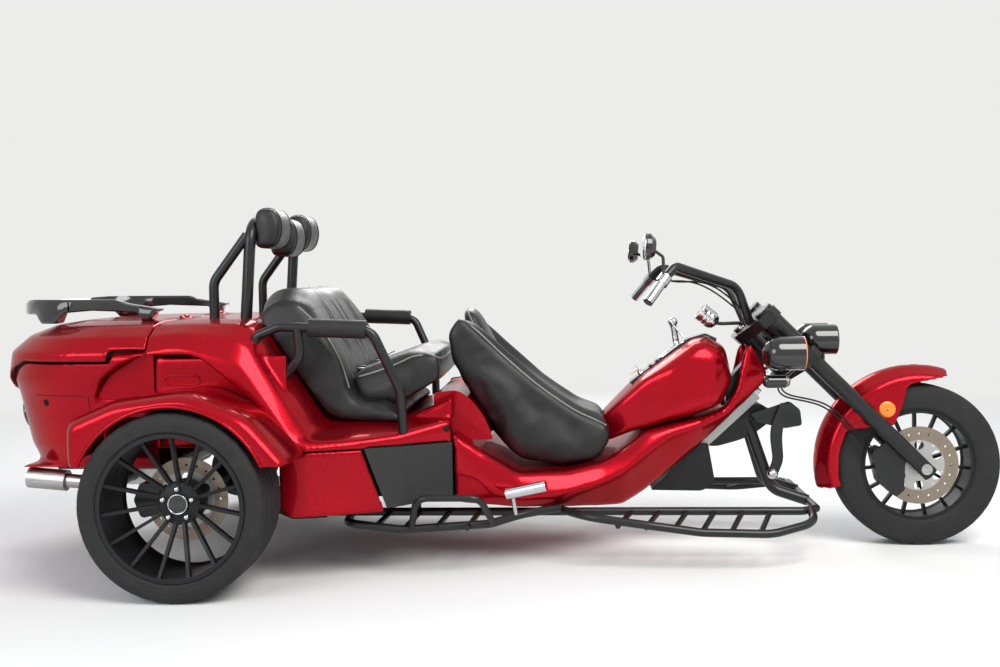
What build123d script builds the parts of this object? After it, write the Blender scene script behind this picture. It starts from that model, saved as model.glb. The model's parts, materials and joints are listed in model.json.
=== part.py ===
import os
from math import cos, radians, sin

from build123d import *

os.makedirs("parts", exist_ok=True)

# Driving dimensions of the chassis, in millimetres.
# +X points forward, +Y to the rider's left and +Z up; the origin is on the ground,
# under the middle of the overall length.
tail_overhang = 801.0
deck_reach = 190.0
passenger_space = 690.0
driver_space = 575.0
tank_space = 590.0
rake = 45.0
fork_reach = 720.0
fork_offset = 95.0
front_tyre_radius = 309.5
front_tyre_width = 150.0
rear_tyre_radius = 314.0
rear_tyre_width = 245.0
rear_track = 1515.0

# Stations along the vehicle, each worked out from the one behind it
fork_lean = radians(rake)
wheelbase = (
    deck_reach + passenger_space + driver_space + tank_space
    + fork_reach * sin(fork_lean) + fork_offset * cos(fork_lean)
)
overall_length = tail_overhang + wheelbase + front_tyre_radius
tail_x = -overall_length / 2
rear_axle_x = tail_x + tail_overhang
deck_front_x = rear_axle_x + deck_reach
driver_x = deck_front_x + passenger_space
tank_x = driver_x + driver_space
head_x = tank_x + tank_space
front_axle_x = rear_axle_x + wheelbase
head_height = front_tyre_radius + fork_reach * cos(fork_lean) - fork_offset * sin(fork_lean)

# Clearances
seat_gap = 0.3
panel_gap = 3.0
running_gap = 0.05
wheel_gap = 2.0

# Heights of the bodywork
deck_height = 908.0
platform_height = 500.0
platform_crown = 40.0
sill_top = 462.0
sill_bottom = 232.0
shell_wall = 12.0
floor_height = 395.0
tail_bottom = floor_height - 17.0
drive_radius = 110.0

# Tubes
main_tube = 42.0
board_tube = 30.0
hoop_tube = 42.0
rest_tube = 34.0


def outline(rows, datum=0.0, base=0.0):
    """Closed outline of straight runs and tangent arcs; a row is (along, up, corner radius)."""
    FilletPolyline(
        *[(datum + along, base + up) for along, up, _ in rows],
        radius=[corner for _, _, corner in rows],
        close=True,
    )


def side_prism(rows, datum, half_width, mode=Mode.ADD, middle=0.0, base=0.0):
    """Side view outline carried across the vehicle, half_width each way from middle."""
    with BuildSketch(Plane.XZ.offset(-middle)) as profile:
        with BuildLine():
            outline(rows, datum, base)
        make_face()
    extrude(profile.sketch, amount=half_width, both=True, mode=mode)


def plan_prism(rows, datum, low, high, mode=Mode.INTERSECT):
    """Plan view outline of (along, half width, corner) rows, mirrored and carried up."""
    mirrored = [(along, -across, corner) for along, across, corner in reversed(rows)]
    with BuildSketch(Plane.XY.offset(low)) as profile:
        with BuildLine():
            outline(list(rows) + mirrored, datum)
        make_face()
    extrude(profile.sketch, amount=high - low, mode=mode)


def tube(route, bends, diameter, mode=Mode.ADD):
    """Round tube along straight runs that tangent arcs join."""
    with BuildLine() as path:
        if len(route) == 2:
            Line(*route)
        else:
            FilletPolyline(*route, radius=bends)
    with BuildSketch(Plane(origin=path.line @ 0, z_dir=path.line % 0)) as section:
        Circle(diameter / 2)
    sweep(section.sketch, path=path.line, mode=mode)


def rod_y(along, up, radius, low, high, mode=Mode.ADD):
    """Round bar across the vehicle from y = low to y = high."""
    with BuildSketch(Plane(origin=(along, low, up), x_dir=(1, 0, 0), z_dir=(0, 1, 0))) as section:
        Circle(radius)
    extrude(section.sketch, amount=high - low, mode=mode)


def block(low, high, mode=Mode.ADD):
    """Box between two opposite corners."""
    middle = tuple((a + b) / 2 for a, b in zip(low, high))
    with Locations(middle):
        Box(*[b - a for a, b in zip(low, high)], mode=mode)


def fork_plane(up_leg, ahead=0.0):
    """Plane square to the fork legs, its x pointing forward and up, up_leg from the front axle."""
    along = Vector(-sin(fork_lean), 0, cos(fork_lean))
    normal = Vector(cos(fork_lean), 0, sin(fork_lean))
    origin = Vector(front_axle_x, 0, front_tyre_radius) + along * up_leg + normal * ahead
    return Plane(origin=origin, x_dir=normal, z_dir=along)


def save(part, name):
    """Label a finished piece and write it as one STEP file."""
    part.part.label = name
    export_step(part.part, f"parts/{name}.step")


# Wheels: a tyre, a rim with slim spokes and its disc, turned about their own axle
spoke_count = 15
rim_wall = 9.0
rim_bead = 8.0
spoke_width = 11.0
spoke_depth = 20.0
rear_bead = 246.0
front_bead = 214.0
rear_wheel_y = rear_track / 2
rear_shaft_radius = 25.0
front_shaft_radius = 12.5
disc_thickness = 6.0
rear_disc_radius = 140.0
front_disc_radius = 148.0

rear_rim_sizes = {
    "radius": rear_bead, "width": rear_tyre_width * 0.92, "hub_radius": 72.0,
    "bore": rear_shaft_radius + running_gap, "spoke_face": 18.0, "lip_face": 92.0,
    "hub_low": -60.0, "hub_high": 26.0,
}
front_rim_sizes = {
    "radius": front_bead, "width": front_tyre_width * 0.82, "hub_radius": 46.0,
    "bore": front_shaft_radius + running_gap, "spoke_face": 26.0, "lip_face": 14.0,
    "hub_low": -62.0, "hub_high": 62.0,
}


def spin_plane(along, axle_height, centre_y, angle):
    """Plane through a wheel's axle: x points outward at angle above forward, y runs across."""
    turn = radians(angle)
    return Plane(
        origin=(along, centre_y, axle_height),
        x_dir=(cos(turn), 0, sin(turn)),
        z_dir=(-sin(turn), 0, cos(turn)),
    )


def build_tyre(along, axle_height, centre_y, radius, width, bead_radius):
    """Closed tyre ring with rounded shoulders and bulged sidewalls."""
    half = width / 2
    tread_half = half * 0.88
    crown_half = half * 0.4
    crown_drop = 4.0
    shoulder = 24.0
    bulge = bead_radius + (radius - bead_radius) * 0.45
    bead_half = half * 0.9
    with BuildPart() as tyre:
        with BuildSketch(spin_plane(along, axle_height, centre_y, 0)):
            with BuildLine():
                outline([
                    (bead_radius, -bead_half, 0.0),
                    (bulge, -half, 18.0),
                    (radius - crown_drop, -tread_half, shoulder),
                    (radius, -crown_half, half),
                    (radius, crown_half, half),
                    (radius - crown_drop, tread_half, shoulder),
                    (bulge, half, 18.0),
                    (bead_radius, bead_half, 0.0),
                ])
            make_face()
        revolve(axis=Axis((along, 0, axle_height), (0, 1, 0)))
    return tyre


def build_rim(along, axle_height, centre_y, side, sizes):
    """Rim barrel with two lips, dished face spokes and hub; side is +1 or -1."""
    outer = sizes["radius"]
    half = sizes["width"] / 2
    hub_r = sizes["hub_radius"]
    bore = sizes["bore"]
    face = sizes["spoke_face"]
    lip_face = sizes["lip_face"]
    hub_low = sizes["hub_low"]
    hub_high = sizes["hub_high"]
    axle = Axis((along, 0, axle_height), (0, 1, 0))
    flat = spin_plane(along, axle_height, centre_y, 0)
    with BuildPart() as rim:
        with BuildSketch(flat):
            with BuildLine():
                outline([
                    (outer - rim_wall - rim_bead, side * -half, 2.0),
                    (outer, side * -half, 2.0),
                    (outer, side * half, 2.0),
                    (outer - rim_wall - rim_bead, side * half, 2.0),
                    (outer - rim_wall, side * (half - 18.0), 6.0),
                    (outer - rim_wall, side * (18.0 - half), 6.0),
                ])
            make_face()
        revolve(axis=axle)
        with BuildSketch(flat):
            with BuildLine():
                outline([
                    (bore, side * hub_low, 0.0),
                    (hub_r, side * hub_low, 2.0),
                    (hub_r, side * (hub_high - 8.0), 6.0),
                    (hub_r * 0.55, side * hub_high, 4.0),
                    (bore, side * hub_high, 0.0),
                ])
            make_face()
        revolve(axis=axle)
        for index in range(spoke_count):
            with BuildSketch(spin_plane(along, axle_height, centre_y, 90.0 + index * 360.0 / spoke_count)):
                with BuildLine():
                    outline([
                        (hub_r * 0.8, side * (face - spoke_depth * 1.3), 0.0),
                        (outer - rim_wall * 0.5, side * (lip_face - spoke_depth), 0.0),
                        (outer - rim_wall * 0.5, side * lip_face, 0.0),
                        (hub_r * 0.8, side * face, 0.0),
                    ])
                make_face()
            extrude(amount=spoke_width / 2, both=True)
    return rim


def build_disc(along, axle_height, low_y, high_y, radius, bore):
    """Flat brake disc with a ring of vent holes and a lightened carrier."""
    start = Plane(origin=(along, low_y, axle_height), x_dir=(1, 0, 0), z_dir=(0, 1, 0))
    with BuildPart() as disc:
        with BuildSketch(start):
            Circle(radius)
            Circle(bore, mode=Mode.SUBTRACT)
            with PolarLocations(radius * 0.82, 20):
                Circle(4.5, mode=Mode.SUBTRACT)
            with PolarLocations(radius * 0.52, 6, start_angle=30):
                Circle(radius * 0.12, mode=Mode.SUBTRACT)
        extrude(amount=high_y - low_y)
    return disc


for side, word in ((-1, "right"), (1, "left")):
    rear_tyre = build_tyre(rear_axle_x, rear_tyre_radius, side * rear_wheel_y,
                           rear_tyre_radius, rear_tyre_width, rear_bead)
    save(rear_tyre, f"rear_tyre_{word}")
    rear_rim = build_rim(rear_axle_x, rear_tyre_radius, side * rear_wheel_y, side, rear_rim_sizes)
    save(rear_rim, f"rear_rim_{word}")
    disc_outer = side * (rear_wheel_y + rear_rim_sizes["hub_low"])
    disc_low, disc_high = sorted((disc_outer, disc_outer - side * disc_thickness))
    rear_disc = build_disc(rear_axle_x, rear_tyre_radius, disc_low, disc_high,
                           rear_disc_radius, rear_rim_sizes["bore"])
    save(rear_disc, f"rear_disc_{word}")

front_tyre = build_tyre(front_axle_x, front_tyre_radius, 0.0,
                        front_tyre_radius, front_tyre_width, front_bead)
save(front_tyre, "front_tyre")
front_rim = build_rim(front_axle_x, front_tyre_radius, 0.0, -1, front_rim_sizes)
save(front_rim, "front_rim")
front_disc_y = -front_rim_sizes["hub_high"]
front_disc = build_disc(front_axle_x, front_tyre_radius, front_disc_y - disc_thickness, front_disc_y,
                        front_disc_radius, front_rim_sizes["bore"])
save(front_disc, "front_disc")

# Fork: two legs with covers at the top, held by an upper and a lower clamp about the stem
leg_spacing = 256.0
leg_diameter = 58.0
cover_diameter = 74.0
cover_length = 168.0
leg_top = 850.0
lower_clamp_low = 580.0
upper_clamp_low = 796.0
clamp_thickness = 42.0
stem_radius = 25.0
head_wall = 10.0
leg_y = leg_spacing / 2
stem_top = upper_clamp_low + clamp_thickness + 14.0

with BuildPart() as fork_legs:
    with BuildSketch(fork_plane(-34.0)):
        with Locations((0, leg_y), (0, -leg_y)):
            Circle(leg_diameter / 2)
    extrude(amount=leg_top - cover_length + 34.0)
    with BuildSketch(fork_plane(leg_top - cover_length)):
        with Locations((0, leg_y), (0, -leg_y)):
            Circle(cover_diameter / 2)
    extrude(amount=cover_length)
    rod_y(front_axle_x, front_tyre_radius, front_shaft_radius,
          -leg_y - leg_diameter, leg_y + leg_diameter, mode=Mode.SUBTRACT)
save(fork_legs, "fork_legs")

with BuildPart() as triple_clamps:
    for low in (lower_clamp_low, upper_clamp_low):
        with BuildSketch(fork_plane(low)):
            with BuildLine():
                outline([
                    (-fork_offset - 46.0, -48.0, 30.0),
                    (-fork_offset - 46.0, 48.0, 30.0),
                    (-40.0, leg_y + 52.0, 26.0),
                    (44.0, leg_y + 52.0, 30.0),
                    (30.0, 40.0, 40.0),
                    (30.0, -40.0, 40.0),
                    (44.0, -leg_y - 52.0, 30.0),
                    (-40.0, -leg_y - 52.0, 26.0),
                ])
            make_face()
        extrude(amount=clamp_thickness)
    with BuildSketch(fork_plane(lower_clamp_low, -fork_offset)):
        Circle(stem_radius)
    extrude(amount=stem_top - lower_clamp_low)
    add(fork_legs.part, mode=Mode.SUBTRACT)
save(triple_clamps, "triple_clamps")

with BuildPart() as front_spindle:
    rod_y(front_axle_x, front_tyre_radius, front_shaft_radius,
          -leg_y - leg_diameter / 2 - 8.0, leg_y + leg_diameter / 2 + 8.0)
    for side in (-1, 1):
        low, high = sorted((side * (front_rim_sizes["hub_high"] + disc_thickness + wheel_gap),
                            side * (leg_y - leg_diameter / 2)))
        rod_y(front_axle_x, front_tyre_radius, 22.0, low, high)
        low, high = sorted((side * (leg_y + leg_diameter / 2), side * (leg_y + leg_diameter / 2 + 8.0)))
        rod_y(front_axle_x, front_tyre_radius, 20.0, low, high)
    add(fork_legs.part, mode=Mode.SUBTRACT)
save(front_spindle, "front_spindle")

# Front brake calliper behind the right leg, on a bracket that is clamped to the leg
with BuildPart() as front_caliper:
    side_prism([
        (-186.0, 52.0, 16.0), (-160.0, 76.0, 12.0), (-120.0, 60.0, 10.0), (-92.0, -30.0, 30.0),
        (-60.0, -84.0, 10.0), (-96.0, -116.0, 16.0), (-160.0, -60.0, 30.0),
    ], front_axle_x, 35.0, middle=front_disc_y - 9.0, base=front_tyre_radius)
    rod_y(front_axle_x, front_tyre_radius, front_disc_radius + 6.0,
          front_disc_y - disc_thickness - 3.0, front_disc_y + 3.0, mode=Mode.SUBTRACT)
    side_prism([
        (-170.0, 60.0, 10.0), (-110.0, 118.0, 12.0), (-44.0, 52.0, 10.0), (-62.0, 8.0, 20.0),
        (-66.0, -90.0, 10.0), (-110.0, -90.0, 10.0),
    ], front_axle_x, 9.0, middle=-leg_y + leg_diameter / 2 + 4.0, base=front_tyre_radius)
    add(fork_legs.part, mode=Mode.SUBTRACT)
save(front_caliper, "front_caliper")

# Front mudguard: a crowned arc over the tyre with a tab down each side, bossed to the legs
guard_gap = 71.5
guard_radius = front_tyre_radius + guard_gap
guard_half = front_tyre_width / 2 + 17.0
guard_skirt = front_tyre_radius - 7.5
guard_shoulder = (guard_radius - guard_skirt) * 0.5
guard_wall = 6.0
guard_start = 72.0
guard_end = 195.0
boss_up = 300.0

with BuildPart() as front_fender:
    arc_plane = Plane(
        origin=(front_axle_x, 0, front_tyre_radius),
        x_dir=(cos(radians(guard_start)), 0, sin(radians(guard_start))),
        z_dir=(sin(radians(guard_start)), 0, -cos(radians(guard_start))),
    )
    with BuildSketch(arc_plane):
        with BuildLine():
            round_out = guard_shoulder * 0.8
            round_in = guard_shoulder * 0.7
            outline([
                (guard_skirt, -guard_half, 0.0), (guard_radius - guard_shoulder, -guard_half, round_out),
                (guard_radius, -20.0, 60.0), (guard_radius, 20.0, 60.0),
                (guard_radius - guard_shoulder, guard_half, round_out), (guard_skirt, guard_half, 0.0),
                (guard_skirt, guard_half - guard_wall, 0.0),
                (guard_radius - guard_shoulder - guard_wall, guard_half - guard_wall, round_in),
                (guard_radius - guard_wall, 18.0, 54.0), (guard_radius - guard_wall, -18.0, 54.0),
                (guard_radius - guard_shoulder - guard_wall, guard_wall - guard_half, round_in),
                (guard_skirt, guard_wall - guard_half, 0.0),
            ])
        make_face()
    revolve(axis=Axis((front_axle_x, 0, front_tyre_radius), (0, -1, 0)),
            revolution_arc=guard_end - guard_start)
    for side in (-1, 1):
        side_prism([
            (-284.0, 130.0, 10.0), (-256.0, 224.0, 30.0), (-168.0, 296.0, 30.0),
            (-48.0, 318.0, 10.0), (-52.0, 262.0, 30.0), (-96.0, 150.0, 24.0),
            (-150.0, 150.0, 20.0),
        ], front_axle_x, guard_wall / 2, middle=side * (guard_half - guard_wall / 2),
            base=front_tyre_radius)
        low, high = sorted((side * (guard_half - guard_wall), side * (leg_y - 12.0)))
        boss = fork_plane(boss_up).origin
        rod_y(boss.X, boss.Z, 16.0, low, high)
    add(fork_legs.part, mode=Mode.SUBTRACT)
save(front_fender, "front_fender")

# Handlebar: fat bar from the upper clamp, up, back and out to the grips
bar_diameter = 34.0
bar_foot_y = 62.0
grip_length = 128.0
grip_diameter = 37.0
clamp_top = fork_plane(upper_clamp_low + clamp_thickness, -60.0).origin
bar_foot = (clamp_top.X, bar_foot_y, clamp_top.Z)
bar_bend = (head_x - 112.0, bar_foot_y + 40.0, head_height + 246.0)
bar_elbow = (head_x - 362.0, 286.0, head_height + 326.0)
grip_start = (head_x - 398.0, 314.0, head_height + 288.0)
grip_axis = (Vector(head_x - 456.0, 363.0, head_height + 214.0) - Vector(*grip_start)).normalized()
grip_end = Vector(*grip_start) + grip_axis * grip_length


def opposite(point):
    """The same point on the other side of the vehicle."""
    return (point[0], -point[1], point[2])


with BuildPart() as handlebar:
    for flip in (lambda p: p, opposite):
        tube([flip(p) for p in (bar_foot, bar_bend, bar_elbow, grip_start)], [90.0, 30.0], bar_diameter)
    rod_y(bar_foot[0] - 6.0, bar_foot[2] + 26.0, 12.0, -bar_foot_y, bar_foot_y)
    add(triple_clamps.part, mode=Mode.SUBTRACT)
save(handlebar, "handlebar")

with BuildPart() as grips:
    for side in (-1, 1):
        start = Vector(grip_start[0], side * grip_start[1], grip_start[2])
        axis = Vector(grip_axis.X, side * grip_axis.Y, grip_axis.Z)
        with BuildSketch(Plane(origin=start, z_dir=axis)):
            Circle(grip_diameter / 2 + 5.0)
        extrude(amount=34.0)
        with BuildSketch(Plane(origin=start + axis * 34.0, z_dir=axis)):
            Circle(grip_diameter / 2)
        extrude(amount=grip_length - 34.0)
    add(handlebar.part, mode=Mode.SUBTRACT)
save(grips, "grips")

# Round mirrors on short stalks that rise from the switch housings
mirror_radius = 48.0
with BuildPart() as mirrors:
    for side in (-1, 1):
        foot = Vector(grip_start[0], side * grip_start[1], grip_start[2]) + Vector(
            grip_axis.X, side * grip_axis.Y, grip_axis.Z) * 17.0
        knee = foot + Vector(-4.0, side * 30.0, 84.0)
        head = foot + Vector(-58.0, side * 104.0, 118.0)
        tube([foot + Vector(0, side * 4.0, 22.0), knee, head], [24.0], 12.0)
        with BuildSketch(Plane(origin=head, x_dir=(0, 1, 0), z_dir=(-1.0, side * 0.12, 0.08))):
            Circle(mirror_radius)
        extrude(amount=16.0)
        with BuildSketch(Plane(origin=head, x_dir=(0, 1, 0), z_dir=(1.0, -side * 0.12, -0.08))):
            Circle(mirror_radius)
        extrude(amount=18.0, taper=40.0)
    add(grips.part, mode=Mode.SUBTRACT)
    add(handlebar.part, mode=Mode.SUBTRACT)
save(mirrors, "mirrors")

# Instrument pod on an arm from the upper clamp
pod_radius = 34.0
pod_length = 62.0
pod_face = Vector(head_x - 236.0, 0, head_height + 150.0)
pod_axis = Vector(0.76, 0, 0.0) + Vector(0, 0, -0.62)
pod_tail = pod_face + pod_axis.normalized() * pod_length
with BuildPart() as instrument_pod:
    with BuildSketch(Plane(origin=pod_face, z_dir=pod_axis)):
        Circle(pod_radius)
    extrude(amount=pod_length)
    tube([pod_tail - pod_axis * 8.0, Vector(clamp_top.X - 20.0, 0, clamp_top.Z + 2.0)], None, 16.0)
    add(triple_clamps.part, mode=Mode.SUBTRACT)
save(instrument_pod, "instrument_pod")

# Lamps: two large bullet lamps outside the legs and two smaller ones between them
main_lamp_radius = 62.0
main_lamp_y = 232.0
spot_radius = 57.0
spot_y = 66.0


def bullet(centre_x, centre_y, centre_z, radius, length):
    """Bullet lamp shell whose flat lens faces forward; centre is the middle of the lens."""
    with BuildSketch(
        Plane(origin=(centre_x, centre_y, centre_z), x_dir=(1, 0, 0), z_dir=(0, -1, 0))
    ) as profile:
        with BuildLine():
            FilletPolyline((0, 0), (0, radius), (-length, radius), (-length, 0), radius=[2.0, radius * 0.92])
            Line((-length, 0), (0, 0))
        make_face()
    revolve(profile.sketch, axis=Axis((centre_x, centre_y, centre_z), (1, 0, 0)))


lamp_x = head_x + 76.0
lamp_z = head_height + 2.0
spot_x = head_x + 262.0
spot_z = head_height + 42.0
lug = fork_plane(lower_clamp_low + clamp_thickness / 2, 0.0).origin
with BuildPart() as lamps:
    for side in (-1, 1):
        bullet(lamp_x + 32.0, side * main_lamp_y, lamp_z, main_lamp_radius, 148.0)
        tube([(lamp_x - 24.0, side * main_lamp_y, lamp_z - main_lamp_radius + 8.0),
              (lug.X - 8.0, side * (leg_y + 30.0), lug.Z - 6.0)], None, 18.0)
        bullet(spot_x, side * spot_y, spot_z, spot_radius, 128.0)
    tube([(spot_x - 46.0, -spot_y, spot_z - 48.0), (spot_x - 46.0, -spot_y, spot_z - 92.0),
          (spot_x - 46.0, spot_y, spot_z - 92.0), (spot_x - 46.0, spot_y, spot_z - 48.0)],
         [16.0, 16.0], 14.0)
    tube([(spot_x - 46.0, 0.0, spot_z - 92.0), (lug.X, 0.0, lug.Z)], None, 22.0)
    add(fork_legs.part, mode=Mode.SUBTRACT)
    add(triple_clamps.part, mode=Mode.SUBTRACT)
save(lamps, "lamps")

signal_y = 226.0
signal_foot = fork_plane(lower_clamp_low + clamp_thickness / 2, -46.0).origin
with BuildPart() as indicators:
    for side in (-1, 1):
        bullet(head_x + 44.0, side * signal_y, head_height - 102.0, 24.0, 84.0)
        tube([(head_x + 6.0, side * signal_y, head_height - 112.0),
              (signal_foot.X, side * (leg_y + 8.0), signal_foot.Z)], None, 12.0)
    add(fork_legs.part, mode=Mode.SUBTRACT)
    add(triple_clamps.part, mode=Mode.SUBTRACT)
    add(lamps.part, mode=Mode.SUBTRACT)
save(indicators, "indicators")

# Main frame: steering head, neck, two down tubes, lower rails and cross tubes
rail_y = 300.0
rail_z = 184.0
board_tip_x = head_x + 150.0
rail_tail_x = rear_axle_x + 330.0
neck_half = 30.0
down_tube_y = 88.0
head_low = lower_clamp_low + clamp_thickness + 1.5
head_high = upper_clamp_low - 1.5
axle_beam_radius = 38.0
arm_y = 330.0
tail_rail_z = floor_height - shell_wall - seat_gap - board_tube / 2
cross_z = platform_height + platform_crown - shell_wall - seat_gap - board_tube / 2

with BuildPart() as main_frame:
    with BuildSketch(fork_plane(head_low, -fork_offset)):
        Circle(stem_radius + head_wall)
    extrude(amount=head_high - head_low)
    side_prism([
        (-150.0, head_height - 130.0, 20.0), (-20.0, head_height + 18.0, 8.0),
        (14.0, head_height - 16.0, 8.0), (-70.0, head_height - 250.0, 10.0),
        (-140.0, head_height - 250.0, 10.0),
    ], head_x, neck_half)
    for side in (-1, 1):
        tube([(head_x - 88.0, side * neck_half, head_height - 200.0),
              (head_x + 16.0, side * down_tube_y, rail_z + 42.0),
              (board_tip_x, side * down_tube_y * 1.2, rail_z)], [70.0], main_tube)
        tube([(rail_tail_x + 60.0, side * rail_y, rail_z), (rail_tail_x - 60.0, side * arm_y, rail_z),
              (rear_axle_x, side * arm_y, rear_tyre_radius)], [60.0], main_tube)
    tube([(rail_tail_x, rail_y, rail_z), (board_tip_x - 60.0, rail_y, rail_z),
          (board_tip_x, rail_y - 40.0, rail_z), (board_tip_x, 40.0 - rail_y, rail_z),
          (board_tip_x - 60.0, -rail_y, rail_z), (rail_tail_x, -rail_y, rail_z)],
         [30.0, 30.0, 30.0, 30.0], board_tube)
    for cross_x in (driver_x + 330.0, driver_x - 260.0):
        rod_y(cross_x, rail_z, board_tube / 2 - 2.0, -rail_y, rail_y)
    for post_x in (driver_x - 150.0, deck_front_x + 270.0):
        rod_y(post_x, cross_z, board_tube / 2, -rail_y - 40.0, rail_y + 40.0)
        for side in (-1, 1):
            tube([(post_x, side * rail_y, rail_z), (post_x, side * rail_y, cross_z)], None, board_tube - 4.0)
    for side in (-1, 1):
        tube([(rear_axle_x, side * arm_y, rear_tyre_radius), (rear_axle_x - 110.0, side * arm_y, tail_rail_z),
              (tail_x + 190.0, side * arm_y, tail_rail_z)], [60.0], board_tube)
    with BuildSketch(fork_plane(head_low - 5.0, -fork_offset)):
        Circle(stem_radius + running_gap)
    extrude(amount=head_high - head_low + 10.0, mode=Mode.SUBTRACT)
save(main_frame, "main_frame")

# Rear axle: beam, final drive housing, hub carriers and the stub shafts the wheels turn on
carrier_face = rear_wheel_y + rear_rim_sizes["hub_low"] - disc_thickness - wheel_gap
with BuildPart() as rear_axle:
    rod_y(rear_axle_x, rear_tyre_radius, axle_beam_radius, -carrier_face, carrier_face)
    rod_y(rear_axle_x, rear_tyre_radius, drive_radius, -95.0, 95.0)
    for side in (-1, 1):
        low, high = sorted((side * (carrier_face - 50.0), side * carrier_face))
        rod_y(rear_axle_x, rear_tyre_radius, 66.0, low, high)
        low, high = sorted((side * carrier_face, side * (rear_wheel_y + rear_rim_sizes["hub_high"])))
        rod_y(rear_axle_x, rear_tyre_radius, rear_shaft_radius, low, high)
    add(main_frame.part, mode=Mode.SUBTRACT)
save(rear_axle, "rear_axle")

with BuildPart() as rear_calipers:
    for side in (-1, 1):
        low, high = sorted((side * (carrier_face - 46.0), side * (carrier_face + disc_thickness + 24.0)))
        with BuildSketch(Plane(origin=(rear_axle_x, low, rear_tyre_radius), x_dir=(0, 0, 1), z_dir=(0, 1, 0))):
            with BuildLine():
                outline([
                    (-50.0, -100.0, 12.0), (-62.0, -152.0, 16.0), (0.0, -176.0, 20.0),
                    (62.0, -152.0, 16.0), (50.0, -100.0, 12.0), (20.0, -66.5, 4.0), (-20.0, -66.5, 4.0),
                ])
            make_face()
        extrude(amount=high - low)
        low, high = sorted((side * (carrier_face - 0.0), side * (carrier_face + disc_thickness + 5.0)))
        rod_y(rear_axle_x, rear_tyre_radius, rear_disc_radius + 6.0, low, high, mode=Mode.SUBTRACT)
        low, high = sorted((side * (carrier_face + disc_thickness), side * (carrier_face + 60.0)))
        rod_y(rear_axle_x, rear_tyre_radius, 92.0, low, high, mode=Mode.SUBTRACT)
    add(rear_axle.part, mode=Mode.SUBTRACT)
save(rear_calipers, "rear_calipers")

with BuildPart() as engine_block:
    block((rear_axle_x - 135.0, -280.0, rear_tyre_radius + drive_radius + seat_gap),
          (rear_axle_x + 235.0, 280.0, deck_height - 190.0))
save(engine_block, "engine_block")

# Rear bodywork. The tail is lofted through levels, each a plan outline with round rear corners.
seam_x = rear_axle_x - 157.0
lid_step = 18.0
lid_rim = deck_height - 134.0
body_rise = deck_height - tail_bottom

# (share of the rise from tail bottom to deck, half width, tail setback, corner radius)
tail_levels = [
    (0.0, 506.0, 86.0, 300.0),
    (0.155, 548.0, 46.0, 350.0),
    (0.509, 592.0, 12.0, 390.0),
    (0.617, 614.0, 0.0, 400.0),
    (0.796, 640.0, 22.0, 410.0),
    (0.906, 600.0, 84.0, 390.0),
    (0.975, 530.0, 176.0, 340.0),
    (1.0, 430.0, 270.0, 260.0),
]


def tail_form(inset):
    """Closed tail shape with every side moved in by inset."""
    with BuildPart() as form:
        for share, half, setback, corner in tail_levels:
            up = tail_bottom + share * body_rise - (inset if share > 0.7 else 0.0)
            with BuildSketch(Plane.XY.offset(up)):
                with BuildLine():
                    outline([
                        (seam_x, half - inset, 0.0),
                        (tail_x + setback + inset, half - inset, corner - inset),
                        (tail_x + setback + inset, inset - half, corner - inset),
                        (seam_x, inset - half, 0.0),
                    ])
                make_face()
        loft(ruled=True)
    return form


def lid_zone(grow):
    """Side view of the space above the lid's parting line, grown downward and forward by grow."""
    return [
        (-60.0, lid_rim - 124.0 - grow, 0.0),
        (24.0 + grow, lid_rim - 124.0 - grow, 0.0),
        (70.0 + grow, lid_rim - 40.0 - grow, 70.0),
        (170.0 + grow, lid_rim - grow, 70.0),
        (508.0 + grow, lid_rim - grow, 6.0),
        (514.0 + grow, lid_rim + 38.0 - grow, 6.0),
        (seam_x - tail_x + grow, lid_rim + 42.0 - grow, 0.0),
        (seam_x - tail_x + grow, deck_height + 60.0, 0.0),
        (-60.0, deck_height + 60.0, 0.0),
    ]


tail_outer = tail_form(0.0)
tail_inner = tail_form(shell_wall)
hinge_axis_x = seam_x + panel_gap / 2
hinge_axis_z = deck_height + 7.0
hinge_radius = 9.0
hinge_pin = 4.0
hinge_leaf = 4.0
hinge_y = 210.0
knuckle_half = 22.0
knuckle_length = 24.0
knuckle_gap = 0.5

with BuildPart() as trunk_lid:
    add(tail_outer.part)
    side_prism(lid_zone(0.0), tail_x, 800.0, mode=Mode.INTERSECT)
    add(tail_inner.part, mode=Mode.SUBTRACT)
    for side in (-1, 1):
        for across in (side * hinge_y - 2 * knuckle_half - 2.0, side * hinge_y + 2 * knuckle_half + 2.0):
            rod_y(hinge_axis_x, hinge_axis_z, hinge_radius + knuckle_gap, across - knuckle_length / 2 - 1.0,
                  across + knuckle_length / 2 + 1.0, mode=Mode.SUBTRACT)
        block((hinge_axis_x - 60.0, side * hinge_y - knuckle_half, deck_height - 2.0),
              (hinge_axis_x - hinge_radius / 2, side * hinge_y + knuckle_half, deck_height + hinge_leaf))
        rod_y(hinge_axis_x, hinge_axis_z, hinge_radius,
              side * hinge_y - knuckle_half, side * hinge_y + knuckle_half)
        rod_y(hinge_axis_x, hinge_axis_z, hinge_pin + running_gap,
              side * hinge_y - knuckle_half - 1.0, side * hinge_y + knuckle_half + 1.0, mode=Mode.SUBTRACT)
save(trunk_lid, "trunk_lid")

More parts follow.
